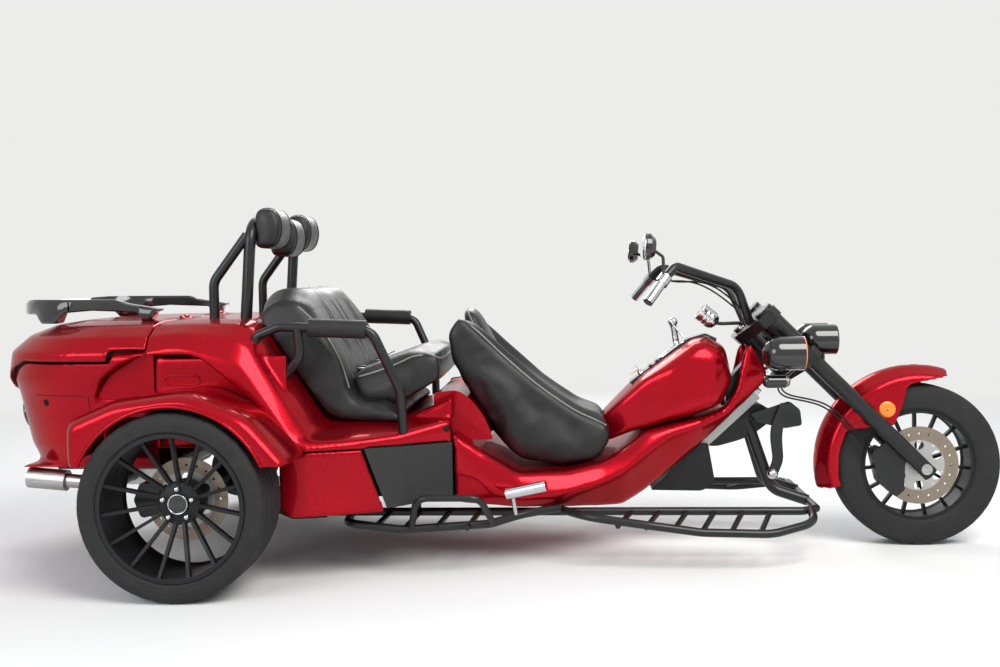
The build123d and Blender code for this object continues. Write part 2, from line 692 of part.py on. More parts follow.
# Deck ahead of the lid: side outlines lofted across, lower and shorter toward the edge.
# Lifts at the hump and the corner count from the seam's height, those at knee and end from the platform.
deck_end = passenger_space - 6.0
deck_columns = ("half", "share", "hump", "corner", "corner_lift", "bend", "knee", "knee_lift", "end", "end_lift")
deck_table = [
    (640.0, 0.796, 24.0, -25.0, -36.0, 150.0, 155.0, 0.0, 0.304, -26.0),
    (600.0, 0.906, 12.0, -12.0, -16.0, 130.0, 198.0, 5.0, 0.482, -16.0),
    (530.0, 0.975, 5.0, -2.0, 2.0, 110.0, 228.0, 16.0, 0.746, 0.0),
    (430.0, 1.0, 3.0, 6.0, 2.0, 110.0, 235.0, platform_crown, 1.0, platform_crown),
]
deck_sections = [dict(zip(deck_columns, row)) for row in deck_table]


def deck_form(inset, bottom):
    """Deck, front slope and seat platform as one closed shape down to bottom."""
    both = deck_sections + [dict(row, half=-row["half"]) for row in reversed(deck_sections)]
    with BuildPart() as form:
        for row in both:
            across = row["half"] - inset if row["half"] > 0 else row["half"] + inset
            top = tail_bottom + row["share"] * body_rise - inset
            level = platform_height - inset
            with BuildSketch(Plane.XZ.offset(-across)):
                with BuildLine():
                    outline([
                        (seam_x + panel_gap - deck_front_x, bottom, 0.0),
                        (seam_x + panel_gap - deck_front_x, top, 0.0),
                        (-deck_reach - 40.0, top + row["hump"], 260.0),
                        (row["corner"] - inset, top + row["corner_lift"], row["bend"]),
                        (row["knee"] - inset, level + row["knee_lift"], 60.0),
                        (row["end"] * deck_end, level + row["end_lift"], 0.0),
                        (row["end"] * deck_end, bottom, 0.0),
                    ], deck_front_x)
                make_face()
        loft(ruled=True)
    return form


arch_rows = [
    (-376.0, 100.0, 0.0), (-380.0, 590.0, 60.0), (-322.0, 712.0, 100.0), (-190.0, 792.0, 120.0),
    (20.0, 796.0, 160.0), (250.0, 600.0, 200.0), (336.0, 440.0, 20.0), (336.0, 100.0, 0.0),
]
arch_wall_y = 562.0

deck_outer = deck_form(0.0, sill_top)
deck_inner = deck_form(shell_wall, sill_top - 20.0)
saddle_half = 380.0
with BuildPart() as saddle:
    side_prism([
        (300.0, platform_height + platform_crown - 6.0, 0.0), (500.0, platform_height + platform_crown, 160.0),
        (deck_end, platform_height + platform_crown + 76.0, 0.0),
        (deck_end, platform_height + platform_crown - 6.0, 0.0),
    ], deck_front_x, saddle_half)

with BuildPart() as rear_body:
    add(deck_outer.part)
    add(deck_inner.part, mode=Mode.SUBTRACT)
    add(saddle.part)
    block((seam_x + panel_gap, -(arch_wall_y - shell_wall), sill_top),
          (seam_x + panel_gap + shell_wall, arch_wall_y - shell_wall, deck_height - 60.0))
    for side in (-1, 1):
        low, high = sorted((side * (arch_wall_y - shell_wall), side * arch_wall_y))
        block((seam_x + panel_gap, low, sill_top), (deck_front_x + 130.0, high, deck_height - 118.0))
        middle = side * (arch_wall_y + 50.0)
        side_prism(arch_rows, rear_axle_x, 50.0, mode=Mode.SUBTRACT, middle=middle)
        rod_y(hinge_axis_x, hinge_axis_z, hinge_radius + knuckle_gap, side * hinge_y - knuckle_half - 1.0,
              side * hinge_y + knuckle_half + 1.0, mode=Mode.SUBTRACT)
        for across in (side * hinge_y - 2 * knuckle_half - 2.0, side * hinge_y + 2.0 * knuckle_half + 2.0):
            low, high = sorted((across - knuckle_length / 2, across + knuckle_length / 2))
            block((hinge_axis_x + hinge_radius / 2, low, deck_height - 8.0),
                  (hinge_axis_x + 50.0, high, deck_height + hinge_leaf))
            rod_y(hinge_axis_x, hinge_axis_z, hinge_radius, low, high)
        rod_y(hinge_axis_x, hinge_axis_z, hinge_pin,
              side * hinge_y - 2 * knuckle_half - knuckle_length / 2 - 6.0,
              side * hinge_y + 2 * knuckle_half + knuckle_length / 2 + 6.0)
save(rear_body, "rear_body")

# Lower tail under the lid, a closed shell with a floor that carries lamps and the plate
tail_low = tail_form(lid_step)
tail_low_inner = tail_form(lid_step + shell_wall)
with BuildPart() as trunk_tub:
    add(tail_low.part)
    side_prism(lid_zone(panel_gap), tail_x, 800.0, mode=Mode.SUBTRACT)
    add(tail_low_inner.part, mode=Mode.SUBTRACT)
    block((tail_x + 122.0, -482.0, floor_height - shell_wall), (seam_x, 482.0, floor_height))
    for side in (-1, 1):
        middle = side * (arch_wall_y + 80.0)
        side_prism(arch_rows, rear_axle_x, 80.0, mode=Mode.SUBTRACT, middle=middle)
save(trunk_tub, "trunk_tub")

# Rear mudguards: a crowned sheet lofted out from the arch wall over each wheel, hollow underneath.
# (distance out from the arch wall, lift of the outline)
flare_radius = rear_tyre_radius + 16.0
flare_reach = rear_wheel_y + rear_tyre_width / 2 - 8.0 - arch_wall_y
flare_wall = 13.0
flare_sections = [(seat_gap, -8.0), (120.0, 0.0), (flare_reach - 76.0, 0.0), (flare_reach - 24.0, -10.0),
                  (flare_reach, -26.0)]
flare_rows = [
    (-352.0, 140.0, 6.0), (-352.0, 284.0, 40.0), (-190.0, 352.0, 150.0), (60.0, 384.0, 240.0),
    (262.0, 300.0, 180.0), (404.0, 140.0, 6.0),
]


def flare_form(side, wall):
    """Closed mudguard shape on one side, made smaller by wall all round."""
    with BuildPart() as form:
        for reach, lift in flare_sections:
            scale = 1.0 + (lift - wall) / flare_radius
            out = side * (arch_wall_y + (reach if wall == 0.0 else reach - wall))
            base = -wall * 2.0
            rows = [(along * scale, up * scale + (base if up < 150.0 else 0.0), corner)
                    for along, up, corner in flare_rows]
            with BuildSketch(Plane.XZ.offset(-out)):
                with BuildLine():
                    outline(rows, rear_axle_x, rear_tyre_radius)
                make_face()
        loft(ruled=True)
    return form


flares = [(flare_form(side, 0.0), flare_form(side, flare_wall)) for side in (-1, 1)]
with BuildPart() as rear_fenders:
    for whole, hollow in flares:
        add(whole.part)
    for whole, hollow in flares:
        add(hollow.part, mode=Mode.SUBTRACT)
    rod_y(rear_axle_x, rear_tyre_radius, flare_radius, -1000.0, 1000.0, mode=Mode.SUBTRACT)
    add(rear_body.part, mode=Mode.SUBTRACT)
    add(trunk_tub.part, mode=Mode.SUBTRACT)
save(rear_fenders, "rear_fenders")

# Side skirts and mesh panels hang from the platform's edge and follow its taper
skirt_rows = [
    (300.0, sill_top - seat_gap, 4.0), (300.0, sill_bottom + 30.0, 20.0), (340.0, sill_bottom, 20.0),
    (650.0, sill_bottom, 10.0), (575.0, sill_top - seat_gap, 4.0),
]
mesh_rows = [
    (583.0, sill_top - seat_gap, 2.0), (655.0, sill_bottom + 16.0, 6.0), (deck_reach + deck_end, sill_bottom + 34.0, 0.0),
    (deck_reach + deck_end, sill_top - seat_gap, 0.0),
]
flank_outer = deck_form(0.0, sill_bottom - 20.0)
flank_inner = deck_form(shell_wall, sill_bottom - 40.0)
flank_mesh = deck_form(4.0, sill_bottom - 20.0)
with BuildPart() as side_skirts:
    side_prism(skirt_rows, rear_axle_x, 900.0)
    add(flank_outer.part, mode=Mode.INTERSECT)
    add(flank_inner.part, mode=Mode.SUBTRACT)
    add(rear_fenders.part, mode=Mode.SUBTRACT)
save(side_skirts, "side_skirts")
with BuildPart() as mesh_panels:
    side_prism(mesh_rows, rear_axle_x, 900.0)
    add(flank_mesh.part, mode=Mode.INTERSECT)
    add(flank_inner.part, mode=Mode.SUBTRACT)
    block((deck_front_x + deck_end - 14.0, -420.0, 0.0), (deck_front_x + deck_end + 20.0, 420.0, 900.0),
          mode=Mode.SUBTRACT)
save(mesh_panels, "mesh_panels")

# Driver's seat, tank and the long fairing that holds them
seat_rows = [
    (-36.0, 854.0, 40.0), (-19.0, 742.0, 60.0), (28.0, 648.0, 100.0), (155.0, 442.0, 60.0),
    (229.0, 366.0, 60.0), (377.0, 340.0, 100.0), (526.0, 365.0, 50.0), (574.0, 440.0, 20.0),
    (571.0, 495.0, 20.0), (453.0, 545.0, 60.0), (307.0, 646.0, 100.0), (160.0, 777.0, 60.0),
    (50.0, 890.0, 30.0), (14.0, 920.0, 20.0),
]
tank_rows = [
    (-38.0, 505.0, 30.0), (-35.0, 401.0, 20.0), (67.0, 445.0, 40.0), (294.0, 500.0, 60.0),
    (426.0, 551.0, 60.0), (464.0, 646.0, 40.0), (438.0, 770.0, 40.0), (368.0, 812.0, 40.0),
    (310.0, 800.0, 40.0), (116.0, 660.0, 80.0),
]
# Long fairing by stations: (along, top half, top, crease half, crease, bottom half, bottom)
fairing_stations = [
    (-2.0, 430.0, 490.0, 428.0, 360.0, 405.0, 236.0),
    (110.0, 408.0, 415.0, 420.0, 300.0, 385.0, 224.0),
    (227.0, 362.0, 335.0, 392.0, 240.0, 355.0, 208.0),
    (400.0, 300.0, 333.0, 345.0, 258.0, 270.0, 192.0),
    (527.0, 262.0, 357.0, 305.0, 288.0, 205.0, 182.0),
    (610.0, 240.0, 398.0, 285.0, 325.0, 170.0, 179.0),
    (696.0, 226.0, 462.0, 258.0, 390.0, 152.0, 230.0),
    (790.0, 212.0, 486.0, 226.0, 455.0, 140.0, 303.0),
    (905.0, 182.0, 507.0, 190.0, 485.0, 122.0, 396.0),
    (1000.0, 122.0, 536.0, 128.0, 516.0, 100.0, 479.0),
    (1050.0, 108.0, 610.0, 112.0, 570.0, 92.0, 524.0),
    (1078.0, 102.0, 752.0, 104.0, 640.0, 88.0, 548.0),
    (1104.0, 98.0, 786.0, 100.0, 660.0, 86.0, 571.0),
    (1165.0, 90.0, 692.0, 91.0, 664.0, 84.0, 632.0),
    (1176.0, 86.0, 650.0, 87.0, 646.0, 84.0, 642.0),
]
seat_half = 235.0

# Tank by sections across its width: (half width, scale of the side outline about its middle)
tank_sections = [(182.0, 0.66), (164.0, 0.82), (136.0, 0.92), (90.0, 0.985), (40.0, 1.0)]
tank_middle = (220.0, 590.0)

with BuildPart() as fuel_tank:
    for half, scale in tank_sections + [(-half, scale) for half, scale in reversed(tank_sections)]:
        with BuildSketch(Plane.XZ.offset(-half)):
            with BuildLine():
                outline([(tank_middle[0] + (along - tank_middle[0]) * scale,
                          tank_middle[1] + (up - tank_middle[1]) * scale, corner * scale)
                         for along, up, corner in tank_rows], tank_x)
            make_face()
    loft(ruled=True)
    plan_prism([(-60.0, 74.0, 0.0), (40.0, 118.0, 60.0), (250.0, 190.0, 120.0), (380.0, 176.0, 60.0),
                (500.0, 90.0, 0.0)], tank_x, 300.0, 900.0)
    add(main_frame.part, mode=Mode.SUBTRACT)
save(fuel_tank, "fuel_tank")

with BuildPart() as front_seat:
    side_prism(seat_rows, driver_x, seat_half)
    fillet(front_seat.faces().filter_by(Axis.Y).edges(), 16.0)
    add(fuel_tank.part, mode=Mode.SUBTRACT)
save(front_seat, "front_seat")

with BuildPart() as front_fairing:
    for along, top_half, top, crease_half, crease, low_half, low in fairing_stations:
        with BuildSketch(Plane.YZ.offset(driver_x + along)):
            with BuildLine():
                Polyline((top_half, top), (crease_half, crease), (low_half, low),
                         (-low_half, low), (-crease_half, crease), (-top_half, top), close=True)
            make_face()
    loft(ruled=True)
    add(front_seat.part, mode=Mode.SUBTRACT)
    add(fuel_tank.part, mode=Mode.SUBTRACT)
    block((tank_x + 440.0, -62.0, 300.0), (tank_x + 700.0, 62.0, 900.0), mode=Mode.SUBTRACT)
    add(main_frame.part, mode=Mode.SUBTRACT)
save(front_fairing, "front_fairing")

with BuildPart() as dash_trim:
    side_prism([(66.0, 626.0, 4.0), (116.0, 664.0, 40.0), (300.0, 800.0, 20.0), (366.0, 820.0, 20.0),
                (410.0, 800.0, 4.0), (404.0, 770.0, 4.0), (300.0, 760.0, 10.0), (120.0, 630.0, 10.0)],
               tank_x, 34.0)
    tube([(tank_x + 262.0, 22.0, 740.0), (tank_x + 250.0, 22.0, 850.0)], None, 12.0)
    with Locations((tank_x + 248.0, 22.0, 862.0)):
        Sphere(18.0)
    add(fuel_tank.part, mode=Mode.SUBTRACT)
save(dash_trim, "dash_trim")

with BuildPart() as driver_backrest:
    side_prism([(20.0, 925.0, 6.0), (50.0, 946.0, 14.0), (130.0, 830.0, 40.0), (160.0, 700.0, 10.0),
                (110.0, 730.0, 10.0), (40.0, 860.0, 10.0)], driver_x, 120.0)
    add(front_seat.part, mode=Mode.SUBTRACT)
save(driver_backrest, "driver_backrest")

# Rear seat: a wide shell that leans on the deck's slope, and a thick cushion
rear_seat_half = 470.0
seat_floor = platform_height + platform_crown
with BuildPart() as rear_seat:
    side_prism([
        (-2.0, deck_height + 10.0, 10.0), (150.0, 690.0, 80.0), (240.0, seat_floor + 26.0, 60.0),
        (300.0, seat_floor - 2.0, 30.0), (520.0, seat_floor - 2.0, 6.0), (528.0, seat_floor + 26.0, 20.0),
        (470.0, seat_floor + 52.0, 40.0), (330.0, seat_floor + 66.0, 60.0), (292.0, 740.0, 120.0),
        (199.0, deck_height - 2.0, 60.0), (116.0, deck_height + 126.0, 40.0),
        (20.0, deck_height + 118.0, 40.0), (-26.0, deck_height + 67.0, 20.0),
    ], deck_front_x, rear_seat_half)
    add(rear_body.part, mode=Mode.SUBTRACT)
    add(front_seat.part, mode=Mode.SUBTRACT)
save(rear_seat, "rear_seat")

with BuildPart() as rear_cushion:
    side_prism([
        (252.0, seat_floor + 110.0, 24.0), (323.0, seat_floor + 60.0, 30.0), (474.0, seat_floor + 46.0, 80.0),
        (640.0, seat_floor + 144.0, 40.0), (640.0, seat_floor + 236.0, 30.0), (552.0, seat_floor + 234.0, 60.0),
        (344.0, seat_floor + 162.0, 80.0), (262.0, seat_floor + 154.0, 24.0),
    ], deck_front_x, rear_seat_half - 90.0)
    add(rear_seat.part, mode=Mode.SUBTRACT)
    add(front_seat.part, mode=Mode.SUBTRACT)
save(rear_cushion, "rear_cushion")

# Roll bar: a hoop with two braces behind it, head pads and armrests
post_y = 330.0
hoop_top = 1262.0
with BuildPart() as roll_bar:
    tube([(rear_axle_x + 112.0, -post_y, deck_height), (rear_axle_x + 138.0, -post_y, hoop_top),
          (rear_axle_x + 138.0, post_y, hoop_top), (rear_axle_x + 112.0, post_y, deck_height)],
         [80.0, 80.0], hoop_tube)
    for side in (-1, 1):
        tube([(rear_axle_x - 6.0, side * post_y, deck_height), (rear_axle_x - 6.0, side * post_y, 1044.0),
              (rear_axle_x + 124.0, side * post_y, 1216.0)], [70.0], hoop_tube - 6.0)
    add(deck_outer.part, mode=Mode.SUBTRACT)
save(roll_bar, "roll_bar")

pad_half = 100.0
pad_spacing = 236.0
with BuildPart() as head_pads:
    for pad_y, drop in ((-pad_spacing, 0.0), (0.0, 26.0), (pad_spacing, 0.0)):
        side_prism([(rear_axle_x + 140.0, 1165.0 - drop, 20.0), (rear_axle_x + 226.0, 1165.0 - drop, 40.0),
                    (rear_axle_x + 250.0, 1240.0 - drop, 60.0), (rear_axle_x + 228.0, 1314.0 - drop, 34.0),
                    (rear_axle_x + 150.0, 1314.0 - drop, 34.0)], 0.0, pad_half, middle=pad_y)
    add(roll_bar.part, mode=Mode.SUBTRACT)
save(head_pads, "head_pads")

rest_y = rear_seat_half + 80.0
with BuildPart() as armrest_frames:
    for side in (-1, 1):
        tube([(rear_axle_x + 206.0, side * (rest_y - 22.0), 760.0), (rear_axle_x + 200.0, side * rest_y, 850.0),
              (rear_axle_x + 290.0, side * rest_y, 886.0), (rear_axle_x + 612.0, side * rest_y, 872.0),
              (rear_axle_x + 706.0, side * (rest_y - 20.0), 660.0),
              (rear_axle_x + 712.0, side * (rest_y - 56.0), platform_height - 30.0)],
             [36.0, 50.0, 60.0, 90.0], rest_tube)
        tube([(rear_axle_x + 356.0, side * rest_y, 882.0), (rear_axle_x + 362.0, side * rest_y, 780.0),
              (rear_axle_x + 260.0, side * (rest_y - 30.0), 664.0)], [60.0], rest_tube)
    add(deck_outer.part, mode=Mode.SUBTRACT)
    add(rear_body.part, mode=Mode.SUBTRACT)
    add(rear_seat.part, mode=Mode.SUBTRACT)
save(armrest_frames, "armrest_frames")

with BuildPart() as armrest_pads:
    for side in (-1, 1):
        tube([(rear_axle_x + 396.0, side * rest_y, 881.4), (rear_axle_x + 596.0, side * rest_y, 872.7)],
             None, 64.0)
    add(armrest_frames.part, mode=Mode.SUBTRACT)
save(armrest_pads, "armrest_pads")

# Footboards: the outer rail and slanted rungs each side, and the passengers' boards
with BuildPart() as footboards:
    for side in (-1, 1):
        tube([(driver_x + 374.0, side * (rail_y + 14.0), rail_z + 12.0),
              (driver_x + 480.0, side * 420.0, rail_z + 4.0),
              (driver_x + 690.0, side * 450.0, 165.0), (head_x - 290.0, side * 450.0, 140.0),
              (head_x - 40.0, side * 440.0, 132.0), (head_x + 120.0, side * 380.0, 160.0),
              (board_tip_x - 28.0, side * (rail_y - 6.0), rail_z)],
             [160.0, 200.0, 300.0, 200.0, 80.0], board_tube)
        for step in range(6):
            start_x = driver_x + 640.0 + step * 100.0
            tube([(start_x, side * rail_y, rail_z), (start_x - 60.0, side * 446.0, 162.0 - 5.0 * step)],
                 None, 20.0)
    add(main_frame.part, mode=Mode.SUBTRACT)
save(footboards, "footboards")

with BuildPart() as passenger_boards:
    for side in (-1, 1):
        tube([(driver_x + 374.0, side * (rail_y + 40.0), 206.0), (driver_x + 240.0, side * 440.0, 204.0),
              (driver_x + 130.0, side * 450.0, 172.0), (driver_x - 180.0, side * 500.0, 162.0),
              (driver_x - 375.0, side * 500.0, 186.0), (driver_x - 390.0, side * 340.0, 186.0)],
             [120.0, 100.0, 200.0, 50.0], board_tube)
        tube([(driver_x - 146.0, side * 500.0, 172.0), (driver_x - 120.0, side * 560.0, 286.0),
              (driver_x + 100.0, side * 560.0, 286.0), (driver_x + 140.0, side * 470.0, 180.0)],
             [50.0, 50.0], 24.0)
        for step in range(4):
            start_x = driver_x - 280.0 + step * 110.0
            tube([(start_x + 30.0, side * rail_y, rail_z), (start_x, side * 498.0, 168.0)], None, 20.0)
    add(main_frame.part, mode=Mode.SUBTRACT)
    add(footboards.part, mode=Mode.SUBTRACT)
save(passenger_boards, "passenger_boards")

with BuildPart() as foot_pegs:
    for side in (-1, 1):
        tube([(driver_x + 190.0, side * 470.0, 282.0), (driver_x + 330.0, side * 500.0, 318.0)], None, 40.0)
        tube([(driver_x + 210.0, side * 474.0, 282.0), (driver_x + 220.0, side * 446.0, 205.0)], None, 16.0)
    add(passenger_boards.part, mode=Mode.SUBTRACT)
save(foot_pegs, "foot_pegs")

# Exhaust: a box under the trunk floor with a slanted tip at each side
exhaust_y = 440.0
exhaust_radius = 38.0
exhaust_wall = 4.0
tip_length = 140.0
tip_bore_depth = tip_length - 20.0
tip_drop = 0.09
box_top = floor_height - shell_wall - 12.0
box_height = 84.0
box_rear_x = tail_x + 330.0
with BuildPart() as exhausts:
    side_prism([
        (0.0, box_top - box_height, 30.0), (0.0, box_top, 30.0), (240.0, box_top, 30.0),
        (240.0, box_top - box_height, 30.0),
    ], box_rear_x, exhaust_y - 150.0)
    for side in (-1, 1):
        start = Vector(tail_x + 130.0, side * exhaust_y, box_top - box_height / 2 + 14.0)
        axis = Vector(1.0, 0, -tip_drop).normalized()
        with BuildSketch(Plane(origin=start, z_dir=axis)):
            Circle(exhaust_radius)
        extrude(amount=tip_length)
        with BuildSketch(Plane(origin=start, z_dir=axis)):
            Circle(exhaust_radius - exhaust_wall)
        extrude(amount=tip_bore_depth, mode=Mode.SUBTRACT)
        low, high = sorted((side * 200.0, side * 225.0))
        block((box_rear_x + 110.0, low, box_top - 10.0),
              (box_rear_x + 130.0, high, floor_height - shell_wall - seat_gap))
    for side in (-1, 1):
        start = Vector(tail_x + 130.0, side * exhaust_y, box_top - box_height / 2 + 14.0)
        bend = start + axis * (tip_length + 150.0)
        tube([start + axis * (tip_length - 10.0), bend, (bend.X + 40.0, side * 260.0, box_top - box_height / 2)],
             [56.0], 50.0)
    add(main_frame.part, mode=Mode.SUBTRACT)
save(exhausts, "exhausts")

with BuildPart() as radiator:
    side_prism([(310.0, 366.0, 4.0), (336.0, 340.0, 4.0), (560.0, 560.0, 4.0), (536.0, 590.0, 4.0)],
               tank_x, 58.0)
    add(main_frame.part, mode=Mode.SUBTRACT)
    add(front_fairing.part, mode=Mode.SUBTRACT)
save(radiator, "radiator")

with BuildPart() as tail_lamps:
    for side in (-1, 1):
        with BuildSketch(Plane.YZ.offset(tail_x + 20.0)):
            with Locations((side * 300.0, 560.0)):
                Circle(52.0)
        extrude(amount=60.0)
    add(tail_low.part, mode=Mode.SUBTRACT)
save(tail_lamps, "tail_lamps")

# Luggage rail on the lid
with BuildPart() as lid_rail:
    for side in (-1, 1):
        tube([(seam_x - 50.0, side * 380.0, deck_height + 26.0), (seam_x - 180.0, side * 400.0, deck_height + 62.0),
              (tail_x + 300.0, side * 400.0, deck_height + 56.0), (tail_x + 165.0, side * 330.0, deck_height + 46.0),
              (tail_x + 140.0, 0.0, deck_height + 44.0)], [100.0, 60.0, 100.0], 26.0)
        for post_x in (seam_x - 120.0, tail_x + 300.0):
            tube([(post_x, side * 385.0, deck_height - 14.0), (post_x, side * 398.0, deck_height + 50.0)],
                 None, 20.0)
    add(trunk_lid.part, mode=Mode.SUBTRACT)
save(lid_rail, "lid_rail")

print("wheelbase", wheelbase, "length", overall_length, "rear axle x", rear_axle_x)
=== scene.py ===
"""Looks of a three-seat motorized trike, built as a Blender add-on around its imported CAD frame."""

import json
from math import cos, pi, radians, sin

import bmesh
import bpy
from mathutils import Matrix, Vector
from mathutils.bvhtree import BVHTree

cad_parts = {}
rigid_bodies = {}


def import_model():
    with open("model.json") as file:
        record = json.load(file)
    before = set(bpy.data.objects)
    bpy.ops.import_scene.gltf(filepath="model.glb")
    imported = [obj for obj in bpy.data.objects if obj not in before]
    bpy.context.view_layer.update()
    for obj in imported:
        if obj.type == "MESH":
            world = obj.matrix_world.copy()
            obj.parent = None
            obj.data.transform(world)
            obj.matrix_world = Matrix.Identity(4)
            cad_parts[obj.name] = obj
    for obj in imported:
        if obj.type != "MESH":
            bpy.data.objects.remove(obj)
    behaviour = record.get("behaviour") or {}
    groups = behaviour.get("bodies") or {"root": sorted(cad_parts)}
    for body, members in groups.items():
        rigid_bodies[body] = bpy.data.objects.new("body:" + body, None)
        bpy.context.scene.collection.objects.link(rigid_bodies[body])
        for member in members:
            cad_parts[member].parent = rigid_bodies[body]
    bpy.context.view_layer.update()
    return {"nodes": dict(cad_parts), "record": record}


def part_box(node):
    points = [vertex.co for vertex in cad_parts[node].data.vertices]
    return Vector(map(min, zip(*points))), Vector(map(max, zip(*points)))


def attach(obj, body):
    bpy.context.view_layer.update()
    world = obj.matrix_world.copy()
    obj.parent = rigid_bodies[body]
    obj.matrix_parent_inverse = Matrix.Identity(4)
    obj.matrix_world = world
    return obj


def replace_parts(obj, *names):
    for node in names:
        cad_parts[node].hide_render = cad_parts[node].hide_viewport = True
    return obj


bl_info = {
    "name": "Motorized Trike",
    "version": (1, 0, 0),
    "blender": (4, 5, 0),
    "location": "View3D > Sidebar > Trike",
    "description": "Dresses the frame of a three-seat motorized trike and sets up its studio",
    "category": "Object",
}

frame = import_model()
nodes = frame["nodes"]


# Places taken from the frame, in metres

def centre_of(node):
    """Middle of a CAD node's box."""
    low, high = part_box(node)
    return (low + high) / 2


rear_axle = {"left": centre_of("rear_tyre_left"), "right": centre_of("rear_tyre_right")}
front_axle = centre_of("front_tyre")
rear_axle_x = rear_axle["right"].x
deck_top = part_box("rear_body")[1].z
side_sign = {"left": 1.0, "right": -1.0}


def ahead(distance, y, height):
    """Point a distance ahead of the rear axle, all in millimetres but y in metres."""
    return Vector((rear_axle_x + distance / 1000, y, height / 1000))


def around(centre, radius, angle):
    """Point on an upright circle along the trike, at an angle in degrees."""
    return centre + Vector((radius * cos(radians(angle)), 0, radius * sin(radians(angle))))


# Sizes and colours that a user would change

def length(name, default, description):
    return bpy.props.FloatProperty(name=name, default=default, description=description, unit="LENGTH")


def colour(name, default, description):
    return bpy.props.FloatVectorProperty(name=name, default=default, description=description,
                                         subtype="COLOR", min=0, max=1)


class TrikeSizes(bpy.types.PropertyGroup):
    tread_depth: length("Tread depth", 0.006, "Depth of the grooves in all tyres")
    pad_voxel: length("Pad detail", 0.0085, "Voxel size of the seat covers before they are filled")
    pad_swell: length("Pad swell", 0.016, "Most that a point of a seat cover may move as it fills")
    pad_pressure: bpy.props.FloatProperty(
        name="Pad pressure", description="Air pressure that fills the seat covers", default=4.0)
    piping: length("Piping", 0.0034, "Radius of the sewn piping on the seats")
    lip: length("Mudguard lip", 0.006, "Radius of the rolled lip on the mudguards")
    nut: length("Wheel nut", 0.0105, "Radius of a wheel nut")
    cable: length("Cable", 0.0035, "Radius of the control cables")


class TrikeColours(bpy.types.PropertyGroup):
    lacquer: colour("Lacquer", (0.4, 0.003, 0.012), "Metallic red of the bodywork")
    lacquer_deep: colour("Lacquer shade", (0.2, 0.0015, 0.006), "Darker clouds in the lacquer")
    satin: colour("Satin black", (0.006, 0.0065, 0.0075), "Powder coat of the tubes and the fork")
    gloss: colour("Gloss black", (0.006, 0.006, 0.007), "Lamps, mirrors and rail")
    rubber: colour("Rubber", (0.014, 0.014, 0.0145), "Tyre rubber")
    leather: colour("Leather", (0.0075, 0.0075, 0.0085), "Seat covers")
    chrome: colour("Chrome", (0.6, 0.61, 0.64), "Grips, gauge, nuts and pegs")
    steel: colour("Brushed steel", (0.5, 0.49, 0.48), "Exhaust tips and spindles")
    disc: colour("Brake disc", (0.3, 0.25, 0.2), "Swept face of the brake discs")
    amber: colour("Amber", (0.95, 0.24, 0.01), "Side reflector and lamp rims")
    lamp_red: colour("Lamp red", (0.5, 0.006, 0.006), "Tail lamps")
    backdrop: colour("Backdrop", (0.84, 0.84, 0.83), "Floor and background")


def sizes():
    return bpy.context.scene.trike_sizes


def colours():
    return bpy.context.scene.trike_colours


# Materials: each finish is one procedural material

def feed(tree, socket, value):
    """Give a socket a constant, or link another node's output to it."""
    if isinstance(value, bpy.types.NodeSocket):
        tree.links.new(value, socket)
    else:
        socket.default_value = value


def wire(tree, kind, output, sockets=None, **settings):
    """Add a shader node with its settings and fed sockets, and give its named output."""
    step = tree.nodes.new("ShaderNode" + kind)
    for name, value in settings.items():
        setattr(step, name, value)
    for socket, value in (sockets or {}).items():
        feed(tree, step.inputs[socket], value)
    return step.outputs[output]


def dimmed(colour, share, lift=0.0):
    """A colour scaled by share and raised by lift."""
    return [c * share + lift for c in colour]


class Finish:
    """A material whose Principled shader is fed socket by socket. Places are in metres."""

    def __init__(self, name, colour, roughness, metallic=0.0):
        self.material = bpy.data.materials.new(name)
        self.material.use_nodes = True
        self.tree = self.material.node_tree
        self.shader = self.tree.nodes["Principled BSDF"]
        self.set({"Base Color": (*colour, 1.0), "Roughness": roughness, "Metallic": metallic})

    def set(self, sockets):
        for socket, value in sockets.items():
            feed(self.tree, self.shader.inputs[socket], value)
        return self.material

    def add(self, kind, output, sockets=None, **settings):
        return wire(self.tree, kind, output, sockets, **settings)

    def place(self, stretch=(1.0, 1.0, 1.0)):
        """Object coordinates, stretched along the axes."""
        return self.add("Mapping", "Vector", {"Vector": self.add("TexCoord", "Object"), "Scale": stretch})

    def grain(self, size, detail=4.0, rough=0.6, vector=None):
        """Noise with features of about size."""
        return self.add("TexNoise", "Fac", {"Vector": self.place() if vector is None else vector,
                                            "Scale": 1.0 / size, "Detail": detail, "Roughness": rough})

    def spread(self, value, low, high, start=0.35, stop=0.65):
        """Remap a value from the range start to stop to the range low to high."""
        return self.add("MapRange", "Result", {"Value": value, "From Min": start, "From Max": stop,
                                               "To Min": low, "To Max": high})

    def tint(self, value, low, high):
        """Blend between two colours by a value."""
        return self.add("Mix", "Result", {"Factor": value, "A": (*low, 1.0), "B": (*high, 1.0)},
                        data_type="RGBA")

    def shaded(self, base, shade, share):
        """A colour multiplied by a shade, to a share."""
        return self.add("Mix", "Result", {"Factor": share, "A": base, "B": shade},
                        data_type="RGBA", blend_type="MULTIPLY")

    def dent(self, height, depth):
        """Bump of a depth from a height value."""
        self.set({"Normal": self.add("Bump", "Normal", {"Strength": 1.0, "Distance": depth,
                                                        "Height": height})})


